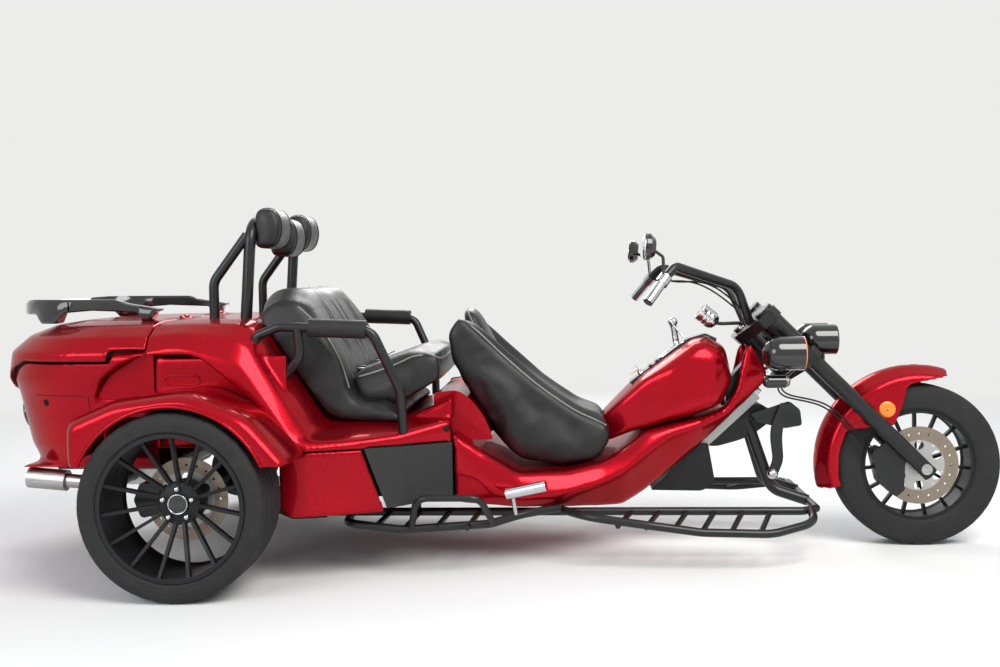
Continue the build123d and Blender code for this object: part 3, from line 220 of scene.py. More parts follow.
def red_lacquer():
    """Metallic red under clear coat, with fine flakes and faint clouds."""
    red = colours().lacquer
    look = Finish("red_lacquer", red, 0.3, 0.72)
    flake = look.grain(0.0016, 2.0)
    cloud = look.spread(look.grain(0.3, 2.0), 0.0, 0.25)
    flop = look.tint(cloud, red, colours().lacquer_deep)
    return look.set({"Base Color": look.shaded(flop, look.spread(flake, 0.55, 1.25), 0.35),
                     "Roughness": look.spread(flake, 0.19, 0.32),
                     "Specular Tint": (0.5, 0.06, 0.07, 1.0),
                     "Coat Weight": 0.45, "Coat Roughness": 0.035, "Coat IOR": 1.3})


def black_coat(name, colour, roughness, texture_size, depth, coat=0.0):
    """Paint, plastic or powder coat with a fine orange-peel texture and a little dust."""
    look = Finish(name, colour, roughness)
    dust = look.grain(0.11, 5.0)
    look.dent(look.grain(texture_size, 3.0), depth)
    return look.set({"Base Color": look.tint(look.spread(dust, 0.0, 1.0, 0.45, 0.8), colour,
                                             dimmed(colour, 1.4, 0.002)),
                     "Roughness": look.spread(dust, roughness * 0.85, roughness * 1.25),
                     "Specular IOR Level": 0.3, "Coat Weight": coat, "Coat Roughness": 0.06})


def tyre_rubber():
    """Road rubber: greyer and dustier where it is worn."""
    rubber = colours().rubber
    look = Finish("tyre_rubber", rubber, 0.72)
    dust = look.grain(0.05, 6.0, 0.7)
    look.dent(look.grain(0.0022, 3.0), 0.0004)
    return look.set({"Base Color": look.tint(look.spread(dust, 0.0, 1.0, 0.45, 0.8), rubber,
                                             (0.034, 0.032, 0.03)),
                     "Roughness": look.spread(dust, 0.6, 0.86), "Specular IOR Level": 0.3})


def seat_leather():
    """Black leather with a pebble grain and soft creases."""
    leather = colours().leather
    look = Finish("seat_leather", leather, 0.42)
    pebble = look.add("TexVoronoi", "Distance", {"Scale": 520.0, "Vector": look.place()})
    crease = look.grain(0.045, 6.0, 0.62)
    look.dent(look.add("Math", "Value", {0: pebble, 1: 0.35, 2: crease}, operation="MULTIPLY_ADD"), 0.0011)
    return look.set({"Base Color": look.tint(look.spread(crease, 0.0, 1.0, 0.42, 0.72), leather,
                                             dimmed(leather, 1.7, 0.002)),
                     "Roughness": look.spread(crease, 0.3, 0.45), "Specular IOR Level": 0.38})


def polished_metal(name, colour, roughness):
    """Polished or plated metal with faint smears."""
    look = Finish(name, colour, roughness, 1.0)
    smear = look.grain(0.03)
    return look.set({"Roughness": look.spread(smear, roughness * 0.6, roughness * 1.7),
                     "Base Color": look.tint(look.spread(smear, 0.0, 1.0), dimmed(colour, 0.9), colour)})


def brushed_metal(name, colour, stretch, roughness=0.34):
    """Metal with fine brush lines across the stretched axis."""
    look = Finish(name, colour, roughness, 1.0)
    lines = look.grain(0.004, vector=look.place(stretch))
    look.dent(lines, 0.0002)
    return look.set({"Base Color": look.tint(look.spread(lines, 0.0, 1.0), dimmed(colour, 0.72), colour),
                     "Roughness": look.spread(lines, roughness * 0.75, roughness * 1.3)})


def brake_disc(name, axle):
    """Heat-tinted swept ring around a paler carrier, by distance from the axle."""
    look = Finish(name, colours().disc, 0.4, 1.0)
    offset = look.add("VectorMath", "Vector", {0: look.add("TexCoord", "Object"), 1: axle},
                      operation="SUBTRACT")
    flat = look.add("VectorMath", "Vector", {0: offset, 1: (1.0, 0.0, 1.0)}, operation="MULTIPLY")
    reach = look.add("VectorMath", "Value", {0: flat}, operation="LENGTH")
    scratch = look.grain(0.0012, 2.0, vector=reach)
    base = look.tint(look.spread(reach, 0.0, 1.0, 0.094, 0.098), (0.5, 0.49, 0.47), colours().disc)
    return look.set({"Base Color": look.shaded(base, look.spread(scratch, 0.6, 1.1), 0.6),
                     "Roughness": look.spread(scratch, 0.28, 0.5)})


def mesh_grille():
    """Black honeycomb mesh, from three waves 60 degrees apart, with painted shade darkening its holes."""
    look = Finish("mesh_grille", (0.012, 0.012, 0.013), 0.6)
    pitch = 0.0085
    waves = []
    for turn in (0, 60, 120):
        direction = (cos(radians(turn)), 0.0, sin(radians(turn)))
        along = look.add("VectorMath", "Value", {0: look.place(), 1: dimmed(direction, 2 * pi / pitch)},
                         operation="DOT_PRODUCT")
        waves.append(look.add("Math", "Value", {0: along}, operation="COSINE"))
    pair = look.add("Math", "Value", {0: waves[0], 1: waves[1]})
    total = look.add("Math", "Value", {0: pair, 1: waves[2]})
    mesh = look.spread(total, 1.0, 0.0, -0.6, 0.5)
    look.dent(mesh, 0.001)
    # The holes get the near-black colour, painted shade in the openings of the mesh; the strands get the
    # lighter black.
    return look.set({"Base Color": look.tint(mesh, (0.002, 0.002, 0.002), (0.02, 0.02, 0.022))})


def cast_metal(name, colour):
    """Rough cast or greasy metal."""
    look = Finish(name, colour, 0.6, 0.6)
    look.dent(look.grain(0.004, 5.0), 0.0006)
    soil = look.spread(look.grain(0.07, 5.0), 0.0, 1.0)
    return look.set({"Base Color": look.tint(soil, colour, dimmed(colour, 0.4))})


def clear_glass(name, colour):
    """Fluted lens glass."""
    look = Finish(name, colour, 0.03)
    look.dent(look.add("TexWave", "Fac", {"Scale": 60.0, "Vector": look.place()}, bands_direction="Y"), 0.0006)
    return look.set({"Transmission Weight": 0.9, "IOR": 1.48})


def lit_plastic(name, colour, glow):
    """Coloured lens plastic that glows a little, with a prism pattern. On the tail lamps the glow is a lamp's;
    on the amber side reflector and lamp rims it is a painted glow.
    """
    look = Finish(name, colour, 0.15)
    prism = look.add("TexVoronoi", "Distance", {"Scale": 240.0, "Randomness": 0.0, "Vector": look.place()})
    look.dent(prism, 0.0008)
    return look.set({"Base Color": look.tint(prism, colour, dimmed(colour, 0.7)),
                     "Emission Color": (*colour, 1.0), "Emission Strength": glow, "Coat Weight": 0.6})


finishes = {}


def make_finishes():
    """Build every finish once."""
    coats = {
        # name: colour, roughness, size and depth of the texture, clear coat
        "black_frame": (colours().satin, 0.36, 0.0016, 0.0002, 0.25),
        "black_wheel": (colours().satin, 0.48, 0.002, 0.0001),
        "gloss_black": (colours().gloss, 0.14, 0.004, 0.00003, 0.9),
        "foam_rubber": ((0.014, 0.014, 0.015), 0.5, 0.0012, 0.0004),
        "seam": ((0.004, 0.004, 0.004), 0.8, 0.003, 0.0001),
        "cover_plastic": ((0.008, 0.008, 0.009), 0.42, 0.0012, 0.0002),
        "dial": ((0.75, 0.75, 0.72), 0.4, 0.002, 0.00002),
        # Pale grey piping: the seats' real piping, coloured pale to paint the highlight along the edges it
        # follows.
        "piping": ((0.2, 0.195, 0.18), 0.45, 0.0015, 0.0001),
        "tag": ((0.75, 0.42, 0.01), 0.4, 0.002, 0.0001),
    }
    finishes.update({name: black_coat(name, *values) for name, values in coats.items()})
    finishes.update({
        "red_paint": red_lacquer(),
        "tyre_rubber": tyre_rubber(),
        "steel": brushed_metal("steel", colours().steel, (0.05, 1.0, 1.0)),
        "disc_steel": brake_disc("disc_steel", rear_axle["right"]),
        "front_disc_steel": brake_disc("front_disc_steel", front_axle),
        "chrome": polished_metal("chrome", colours().chrome, 0.07),
        "black_plastic": mesh_grille(),
        "leather": seat_leather(),
        "engine_iron": cast_metal("engine_iron", (0.07, 0.07, 0.072)),
        "aluminium": brushed_metal("aluminium", (0.42, 0.43, 0.42), (1.0, 0.05, 1.0), 0.45),
        "lamp_red": lit_plastic("lamp_red", colours().lamp_red, 0.05),
        # The amber glows a little though the side reflector and lamp rims it dresses are no lamps: a painted
        # glow.
        "amber": lit_plastic("amber", colours().amber, 0.18),
        "lens": clear_glass("lens", (0.93, 0.94, 0.95)),
        "mirror_glass": polished_metal("mirror_glass", (0.85, 0.87, 0.9), 0.02),
    })


# Mesh helpers

def linked(name, data, matrix=Matrix.Identity(4)):
    """New object in the scene."""
    made = bpy.data.objects.new(name, data)
    made.matrix_world = matrix
    bpy.context.scene.collection.objects.link(made)
    return made


def add_piece(name, mesh, finish, body):
    """Link a mesh or curve as a named piece that rides on a body."""
    piece = linked(name, mesh)
    dress(piece, finish, body)
    return piece


def dress(piece, finish, body):
    """Material and body of a piece."""
    piece.data.materials.clear()
    piece.data.materials.append(finishes[finish])
    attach(piece, body)


def smooth(mesh):
    """Shade every face of a mesh smooth."""
    mesh.shade_smooth()
    return mesh


def mesh_of(name, points, faces):
    """A smooth mesh from points and faces."""
    mesh = bpy.data.meshes.new(name)
    mesh.from_pydata(points, [], faces)
    return smooth(mesh)


def basis(axis):
    """Rotation whose z column is axis."""
    return Vector(axis).normalized().to_track_quat("Z", "Y").to_matrix().to_4x4()


def grid(rings, count, closed=False):
    """Faces between rings of count points each, and from the last ring to the first if closed."""
    return [(ring * count + k, ring * count + (k + 1) % count,
             (ring + 1) % rings * count + (k + 1) % count, (ring + 1) % rings * count + k)
            for ring in range(rings if closed else rings - 1) for k in range(count)]


def turned(rows, steps=32):
    """Vertices and faces of a profile of (radius, height) rows turned about z."""
    angles = [2 * pi * step / steps for step in range(steps)]
    points = [(radius * cos(angle), radius * sin(angle), height) for angle in angles
              for radius, height in rows]
    count = len(rows)
    faces = [(ring * count + row, (ring + 1) % steps * count + row,
              (ring + 1) % steps * count + row + 1, ring * count + row + 1)
             for ring in range(steps) for row in range(count - 1)]
    return points, faces


class Builder:
    """Collects turned, flat and boxed forms into one mesh."""

    def __init__(self):
        self.points = []
        self.faces = []

    def add(self, points, faces, matrix=Matrix.Identity(4)):
        start = len(self.points)
        self.points.extend(matrix @ Vector(point) for point in points)
        self.faces.extend(tuple(start + index for index in face) for face in faces)
        return self

    def lathe(self, rows, centre, axis, steps=32):
        """Turn (radius, height) rows about axis at centre."""
        return self.add(*turned(rows, steps), Matrix.Translation(centre) @ basis(axis))

    def plate(self, rows, base_x, middle, half):
        """Plate with a side outline, see side_plate."""
        return self.add(*side_plate(rows, base_x, middle, half))

    def block(self, size, bevel, spot, turn=Matrix.Identity(4)):
        """Box with rounded edges and its middle at a spot."""
        return self.add(*block(size, bevel), Matrix.Translation(spot) @ turn)

    def piece(self, name, finish, body):
        """The mesh as a named piece on a body."""
        mesh = bpy.data.meshes.new(name)
        mesh.from_pydata([tuple(point) for point in self.points], [], self.faces)
        mesh.validate()
        mesh.update()
        return add_piece(name, smooth(mesh), finish, body)


def dome(radius, height, flat=0.0):
    """Rows of a round head: a rim, a curve and a flat top."""
    rows = [(radius, 0.0), (radius, height * 0.3)]
    rows += [(flat + (radius - flat) * cos(t * pi / 12), height * (0.3 + 0.7 * sin(t * pi / 12)))
             for t in range(1, 6)]
    return rows + [(flat, height), (0.0005, height)]


def hex_head(radius, height):
    """Vertices and faces of a bevelled hexagonal head."""
    rows = [(radius, 0.0), (radius, height * 0.8), (radius * 0.86, height), (0.0004, height)]
    return turned(rows, 6)


def cable(name, points, radius, finish, body, closed=False, order=4):
    """A smooth tube through control points."""
    curve = bpy.data.curves.new(name, "CURVE")
    curve.dimensions = "3D"
    curve.bevel_depth = radius
    curve.bevel_resolution = 2
    curve.resolution_u = 5
    curve.use_fill_caps = True
    spline = curve.splines.new("NURBS")
    spline.points.add(len(points) - 1)
    for control, point in zip(spline.points, points):
        control.co = (*point, 1.0)
    spline.order_u = order
    spline.use_endpoint_u = not closed
    spline.use_cyclic_u = closed
    return add_piece(name, curve, finish, body)


def bake(piece):
    """Replace a piece's mesh with what its modifiers give."""
    graph = bpy.context.evaluated_depsgraph_get()
    mesh = bpy.data.meshes.new_from_object(piece.evaluated_get(graph))
    piece.modifiers.clear()
    piece.data = mesh


def skin_of(node, name, voxel, cutter=None):
    """Closed even skin of small squares over a CAD node, with a cutter taken away."""
    skin = linked(name, nodes[node].data.copy())
    if cutter:
        cut = skin.modifiers.new("cut", "BOOLEAN")
        cut.operation = "DIFFERENCE"
        cut.object = cutter
        bake(skin)
    squares = skin.modifiers.new("squares", "REMESH")
    squares.mode = "VOXEL"
    squares.voxel_size = voxel
    bake(skin)
    return skin


def relax(piece, rounds, most, beside=()):
    """Smooth a skin. No point moves further than most, and less near the nodes beside it."""
    starts = [vertex.co.copy() for vertex in piece.data.vertices]
    soft = piece.modifiers.new("soft", "SMOOTH")
    soft.factor = 0.5
    soft.iterations = rounds
    bake(piece)
    trees = [BVHTree.FromPolygons([v.co.copy() for v in nodes[node].data.vertices],
                                  [tuple(f.vertices) for f in nodes[node].data.polygons])
             for node in beside]
    for vertex, start in zip(piece.data.vertices, starts):
        move = vertex.co - start
        limit = most
        for tree in trees:
            spot, normal, face, distance = tree.find_nearest(start, 0.03)
            if spot:
                limit = min(limit, most * (0.12 + 0.88 * ease((spot - start).length, 0.007, 0.028)))
        if move.length > limit:
            vertex.co = start + move * (limit / move.length)


def finish_skin(piece, node, finish, body):
    """Material and body of a piece that stands for a node, with smooth shading, and the node hidden."""
    smooth(piece.data)
    dress(piece, finish, body)
    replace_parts(piece, node)


def ease(value, low, high):
    """Smooth step from 0 at low to 1 at high."""
    share = min(max((value - low) / (high - low), 0.0), 1.0)
    return share * share * (3.0 - 2.0 * share)


def surface_line(piece, points, toward, lift):
    """Points dropped on a piece's surface along toward, raised by lift."""
    toward = Vector(toward).normalized()
    line = []
    for point in points:
        start = Vector(point) - toward * 0.25
        hit, spot, normal, face = piece.ray_cast(start, toward, distance=0.6)
        if hit:
            line.append(spot + normal * lift)
    return line


def struck(piece, start, toward, reach=1.0):
    """Point and normal where a ray from start meets a piece. A miss stops the script."""
    hit, spot, normal, face = piece.ray_cast(Vector(start), Vector(toward), distance=reach)
    if not hit:
        raise RuntimeError(f"{piece.name} isn't met by the ray from {tuple(start)}")
    return spot, normal


def girdle(piece, centre, reach, lift):
    """Closed line round a piece, in an upright plane along the trike."""
    centre = Vector(centre)
    line = []
    for step in range(40):
        out = around(Vector(), 1.0, 9 * step)
        hit, spot, normal, face = piece.ray_cast(centre + out * reach, -out, distance=reach)
        if hit:
            line.append(spot + out * lift)
    return line


def block(size, bevel):
    """Vertices and faces of a box with rounded edges, its middle at the origin."""
    shape = bmesh.new()
    bmesh.ops.create_cube(shape, size=1.0)
    bmesh.ops.scale(shape, vec=size, verts=shape.verts)
    bmesh.ops.bevel(shape, geom=shape.edges[:], offset=bevel, segments=3, profile=0.5, affect="EDGES")
    shape.verts.index_update()
    points = [vertex.co.copy() for vertex in shape.verts]
    faces = [tuple(vertex.index for vertex in face.verts) for face in shape.faces]
    shape.free()
    return points, faces


def side_plate(rows, base_x, middle, half):
    """Vertices and faces of a plate with a side outline of (ahead, up, corner) rows in millimetres."""
    corners = [Vector((base_x + along / 1000, up / 1000)) for along, up, corner in rows]
    outline = []
    for index, spot in enumerate(corners):
        corner = rows[index][2]
        before, after = corners[index - 1] - spot, corners[(index + 1) % len(rows)] - spot
        cut = min(corner / 1000, before.length * 0.45, after.length * 0.45)
        start, stop = spot + before.normalized() * cut, spot + after.normalized() * cut
        for k in range(6):
            share = k / 5
            outline.append(start * (1 - share) ** 2 + spot * 2 * share * (1 - share) + stop * share ** 2)
    points = [(x, middle - half, z) for x, z in outline] + [(x, middle + half, z) for x, z in outline]
    total = len(outline)
    faces = [(k, (k + 1) % total, total + (k + 1) % total, total + k) for k in range(total)]
    return points, faces + [tuple(range(total)), tuple(range(2 * total - 1, total - 1, -1))]


def crisp(piece, bevel):
    """Round the hard edges of a piece a little."""
    edge = piece.modifiers.new("edge", "BEVEL")
    edge.width = bevel
    edge.segments = 3
    edge.limit_method = "ANGLE"
    edge.angle_limit = radians(35)
    bake(piece)
    piece.data.shade_smooth()
    piece.data.set_sharp_from_angle(angle=radians(50))
    return piece


def power(value, share):
    """Signed power, for rounded outlines."""
    return (abs(value) ** share) * (1.0 if value >= 0 else -1.0)


def crowned(wide, tall, deep, outline=0.6, crown=0.7):
    """Vertices and faces of a crowned pad with rounded corners."""
    steps, rings = 56, 28
    points = []
    for ring in range(rings + 1):
        rise = -pi / 2 + pi * ring / rings
        flat = abs(cos(rise)) ** crown
        for step in range(steps):
            angle = 2 * pi * step / steps
            points.append((wide * flat * power(cos(angle), outline),
                           tall * flat * power(sin(angle), outline), deep * power(sin(rise), crown)))
    return points, grid(rings + 1, steps)


def strap(name, points, half_width, body):
    """Flat webbing through points."""
    corners = []
    for index, point in enumerate(points):
        along = points[min(index + 1, len(points) - 1)] - points[max(index - 1, 0)]
        side = along.cross(Vector((0, 0, 1))).normalized() * half_width
        thick = side.cross(along).normalized() * 0.0012
        corners += [point + side + thick, point + side - thick, point - side - thick, point - side + thick]
    end = len(corners)
    faces = grid(len(points), 4) + [(0, 1, 2, 3), (end - 1, end - 2, end - 3, end - 4)]
    piece = add_piece(name, mesh_of(name, corners, faces), "seam", body)
    piece.modifiers.new("soft", "SUBSURF").levels = 3
    bake(piece)


# Operators, one for each piece or group of like pieces

class TRIKE_OT_stage(bpy.types.Operator):
    """Camera at the viewing angle, pale floor and soft lamps"""
    bl_idname = "trike.stage"
    bl_label = "Studio"

    camera_place = (0.21706, -4.33969, 1.05248)
    camera_turn = (radians(-3.3723), radians(-2.98752), radians(-0.80114))
    camera_lens = 39.88
    floor_reach = 30.0
    lamp_table = [
        # name, place, size, power, colour
        ("key", (2.4, -3.4, 4.6), 3.6, 300.0, (1.0, 0.985, 0.96)),
        ("fill", (-3.6, -4.6, 2.6), 3.2, 120.0, (0.95, 0.97, 1.0)),
        ("rim", (-0.5, 4.4, 3.8), 3.4, 190.0, (1.0, 1.0, 1.0)),
    ]

    def execute(self, context):
        yaw, pitch, roll = self.camera_turn
        camera = bpy.data.cameras.new("camera")
        camera.lens = self.camera_lens
        camera.sensor_width = 36.0
        camera.clip_end = 200.0
        context.scene.camera = linked("camera", camera, (
            Matrix.Translation(self.camera_place) @ Matrix.Rotation(-yaw, 4, "Z")
            @ Matrix.Rotation(pi / 2 + pitch, 4, "X") @ Matrix.Rotation(roll, 4, "Z")))
        self.floor()
        self.lamps()
        self.sky(context)
        context.scene.view_settings.view_transform = "Standard"
        return {"FINISHED"}

    def floor(self):
        """Pale ground that keeps the object's shadow and glows like the backdrop far off."""
        pale, reach = colours().backdrop, self.floor_reach
        mesh = bpy.data.meshes.new("floor")
        mesh.from_pydata([(-reach, -reach, 0), (reach, -reach, 0), (reach, reach, 0), (-reach, reach, 0)],
                         [], [(0, 1, 2, 3)])
        look = Finish("floor", pale, 0.9)
        look.set({"Base Color": look.tint(look.grain(0.35, 3.0), dimmed(pale, 0.97), pale),
                  "Specular IOR Level": 0.1})
        far = look.add("VectorMath", "Value", {0: look.place()}, operation="LENGTH")
        glow = look.add("Emission", "Emission", {"Color": (*pale, 1.0)})
        blend = look.add("MixShader", "Shader", {"Fac": look.spread(far, 0.0, 1.0, 2.6, 6.5),
                                                 1: look.shader.outputs["BSDF"], 2: glow})
        feed(look.tree, look.tree.nodes["Material Output"].inputs["Surface"], blend)
        mesh.materials.append(look.material)
        linked("floor", mesh)

    def lamps(self):
        """A broad key lamp overhead and ahead, a fill from the camera side and a rim behind."""
        for name, spot, size, energy, tone in self.lamp_table:
            lamp = bpy.data.lights.new(name, "AREA")
            lamp.shape = "DISK"
            lamp.size = size
            lamp.energy = energy
            lamp.color = tone
            aim = Vector((0.0, 0.0, 0.5)) - Vector(spot)
            linked(name, lamp, Matrix.Translation(spot) @ aim.to_track_quat("-Z", "Y").to_matrix().to_4x4())

    def sky(self, context):
        """Soft even light, with a pale background for the camera and in reflections."""
        world = bpy.data.worlds.new("studio")
        context.scene.world = world
        world.use_nodes = True
        tree = world.node_tree
        light = tree.nodes["Background"]
        feed(tree, light.inputs["Color"], (0.86, 0.9, 0.96, 1.0))
        feed(tree, light.inputs["Strength"], 0.55)
        backdrop = wire(tree, "Background", "Background", {"Color": (*colours().backdrop, 1.0)})
        rays = tree.nodes.new("ShaderNodeLightPath").outputs
        seen = wire(tree, "Math", "Value", {0: rays["Is Camera Ray"], 1: rays["Is Glossy Ray"]},
                    operation="MAXIMUM")
        seen = wire(tree, "Math", "Value", {0: seen, 1: rays["Is Transmission Ray"]}, operation="MAXIMUM")
        mixed = wire(tree, "MixShader", "Shader", {"Fac": seen, 1: light.outputs["Background"], 2: backdrop})
        feed(tree, tree.nodes["World Output"].inputs["Surface"], mixed)


class TRIKE_OT_finishes(bpy.types.Operator):
    """Paint, metal, rubber and leather on every part of the frame"""
    bl_idname = "trike.finishes"
    bl_label = "Finishes"

    def execute(self, context):
        make_finishes()
        slots = {row["node"]: row["material_slot"] for row in frame["record"]["subparts"]}
        for node, part in nodes.items():
            part.data.materials.clear()
            part.data.materials.append(
                finishes["front_disc_steel" if node == "front_disc" else slots[node]])
        return {"FINISHED"}


class TRIKE_OT_tyres(bpy.types.Operator):
    """Tyres with grooved treads and ribbed sidewalls"""
    bl_idname = "trike.tyres"
    bl_label = "Tyres"

    steps = 252
    block_steps = 7
    groove = 0.0035

    def profile(self, radius, width, bead):
        """Rows of (across, radius, shoulder flag) from one bead over the tread to the other."""
        half = width / 2
        depth = sizes().tread_depth
        groove = self.groove
        rows = [(0.86, bead - 0.004, 0), (0.90, bead + 0.001, 0), (0.955, bead + 0.006, 0),
                (0.975, bead + 0.010, 0), (0.968, bead + 0.013, 0), (0.992, bead + 0.022, 0),
                (0.999, bead + 0.030, 0), (0.992, bead + 0.033, 0), (0.994, bead + 0.036, 0)]
        rows = [(share * half, r, flag) for share, r, flag in rows]
        wall = radius - bead
        rows += [(half * 0.985, bead + wall * 0.66, 0), (half * 0.955, bead + wall * 0.78, 0),
                 (half * 0.915, radius - wall * 0.11, 1), (half * 0.87, radius - wall * 0.065, 1),
                 (half * 0.80, radius - wall * 0.045, 1), (half * 0.68, radius - wall * 0.025, 1),
                 (half * 0.58, radius - wall * 0.014, 1)]
        for share in (0.5, 0.17):
            middle = half * share
            top = radius - wall * 0.02 * share
            rows += [(middle + groove * 1.6, top, 0), (middle + groove, top - depth, 0),
                     (middle - groove, top - depth, 0), (middle - groove * 1.6, top, 0)]
        rows = [row for row in rows if row[0] > 0.002]
        return rows + [(-across, r, flag) for across, r, flag in reversed(rows)]

    def build(self, name, node, rim, body):
        """One tyre in place of its CAD ring."""
        low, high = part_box(node)
        bead = (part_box(rim)[1].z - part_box(rim)[0].z) / 2
        centre = (low + high) / 2
        rows = self.profile((high.z - low.z) / 2 - 0.0005, high.y - low.y, bead)
        depth = sizes().tread_depth * 0.6
        points = []
        for step in range(self.steps):
            angle = 2 * pi * step / self.steps
            for across, radius, shoulder in rows:
                if shoulder and (step + int(abs(across) * 160)) % self.block_steps == 0:
                    radius -= depth
                points.append((centre.x + radius * cos(angle), centre.y + across,
                               centre.z + radius * sin(angle)))
        tyre = add_piece(name, mesh_of(name, points, grid(self.steps, len(rows), closed=True)),
                         "tyre_rubber", body)
        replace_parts(tyre, node)

    def execute(self, context):
        for word in side_sign:
            self.build(f"rear_tread_{word}", f"rear_tyre_{word}", f"rear_rim_{word}", f"rear_wheel_{word}")
        self.build("front_tread", "front_tyre", "front_rim", "front_wheel")
        return {"FINISHED"}


class TRIKE_OT_wheel_trim(bpy.types.Operator):
    """Wheel nuts, centre caps and disc bolts"""
    bl_idname = "trike.wheel_trim"
    bl_label = "Wheel trim"

    hub_face = 0.026
    nut_circle = 0.052
    nut_count = 5
    disc_bolts = [
        # number, first angle, circle, head
        (6, 30, 0.03, dome(0.006, 0.005, 0.003)),
        (10, 18, 0.09, dome(0.005, 0.002, 0.002)),
    ]

    def execute(self, context):
        for word, sign in side_sign.items():
            body = f"rear_wheel_{word}"
            out = Vector((0, sign, 0))
            face = rear_axle[word] + out * self.hub_face
            nuts = Builder()
            for index in range(self.nut_count):
                spot = around(face, self.nut_circle, 90 + 360 / self.nut_count * index) - out * 0.006
                nuts.add(*hex_head(sizes().nut, 0.022), Matrix.Translation(spot) @ basis(out))
                nuts.lathe(dome(sizes().nut * 0.8, 0.008), spot + out * 0.02, out, 16)
            nuts.piece(f"wheel_nuts_{word}", "chrome", body)
            cap = [(0.036, -0.004), (0.036, 0.006), (0.033, 0.009), (0.031, 0.007), (0.020, 0.0085),
                   (0.0005, 0.009)]
            Builder().lathe(cap, face, out, 40).piece(f"centre_cap_{word}", "gloss_black", body)
            ring = [(0.0335, 0.0085), (0.0325, 0.0105), (0.0305, 0.0085)]
            Builder().lathe(ring, face, out, 40).piece(f"cap_ring_{word}", "chrome", body)
        bolts = Builder()
        disc = Vector((front_axle.x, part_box("front_disc")[0].y, front_axle.z))
        for count, first, circle, head in self.disc_bolts:
            for index in range(count):
                bolts.lathe(head, around(disc, circle, first + 360 / count * index), (0, -1, 0), 12)
        bolts.piece("disc_bolts", "chrome", "front_wheel")
        return {"FINISHED"}


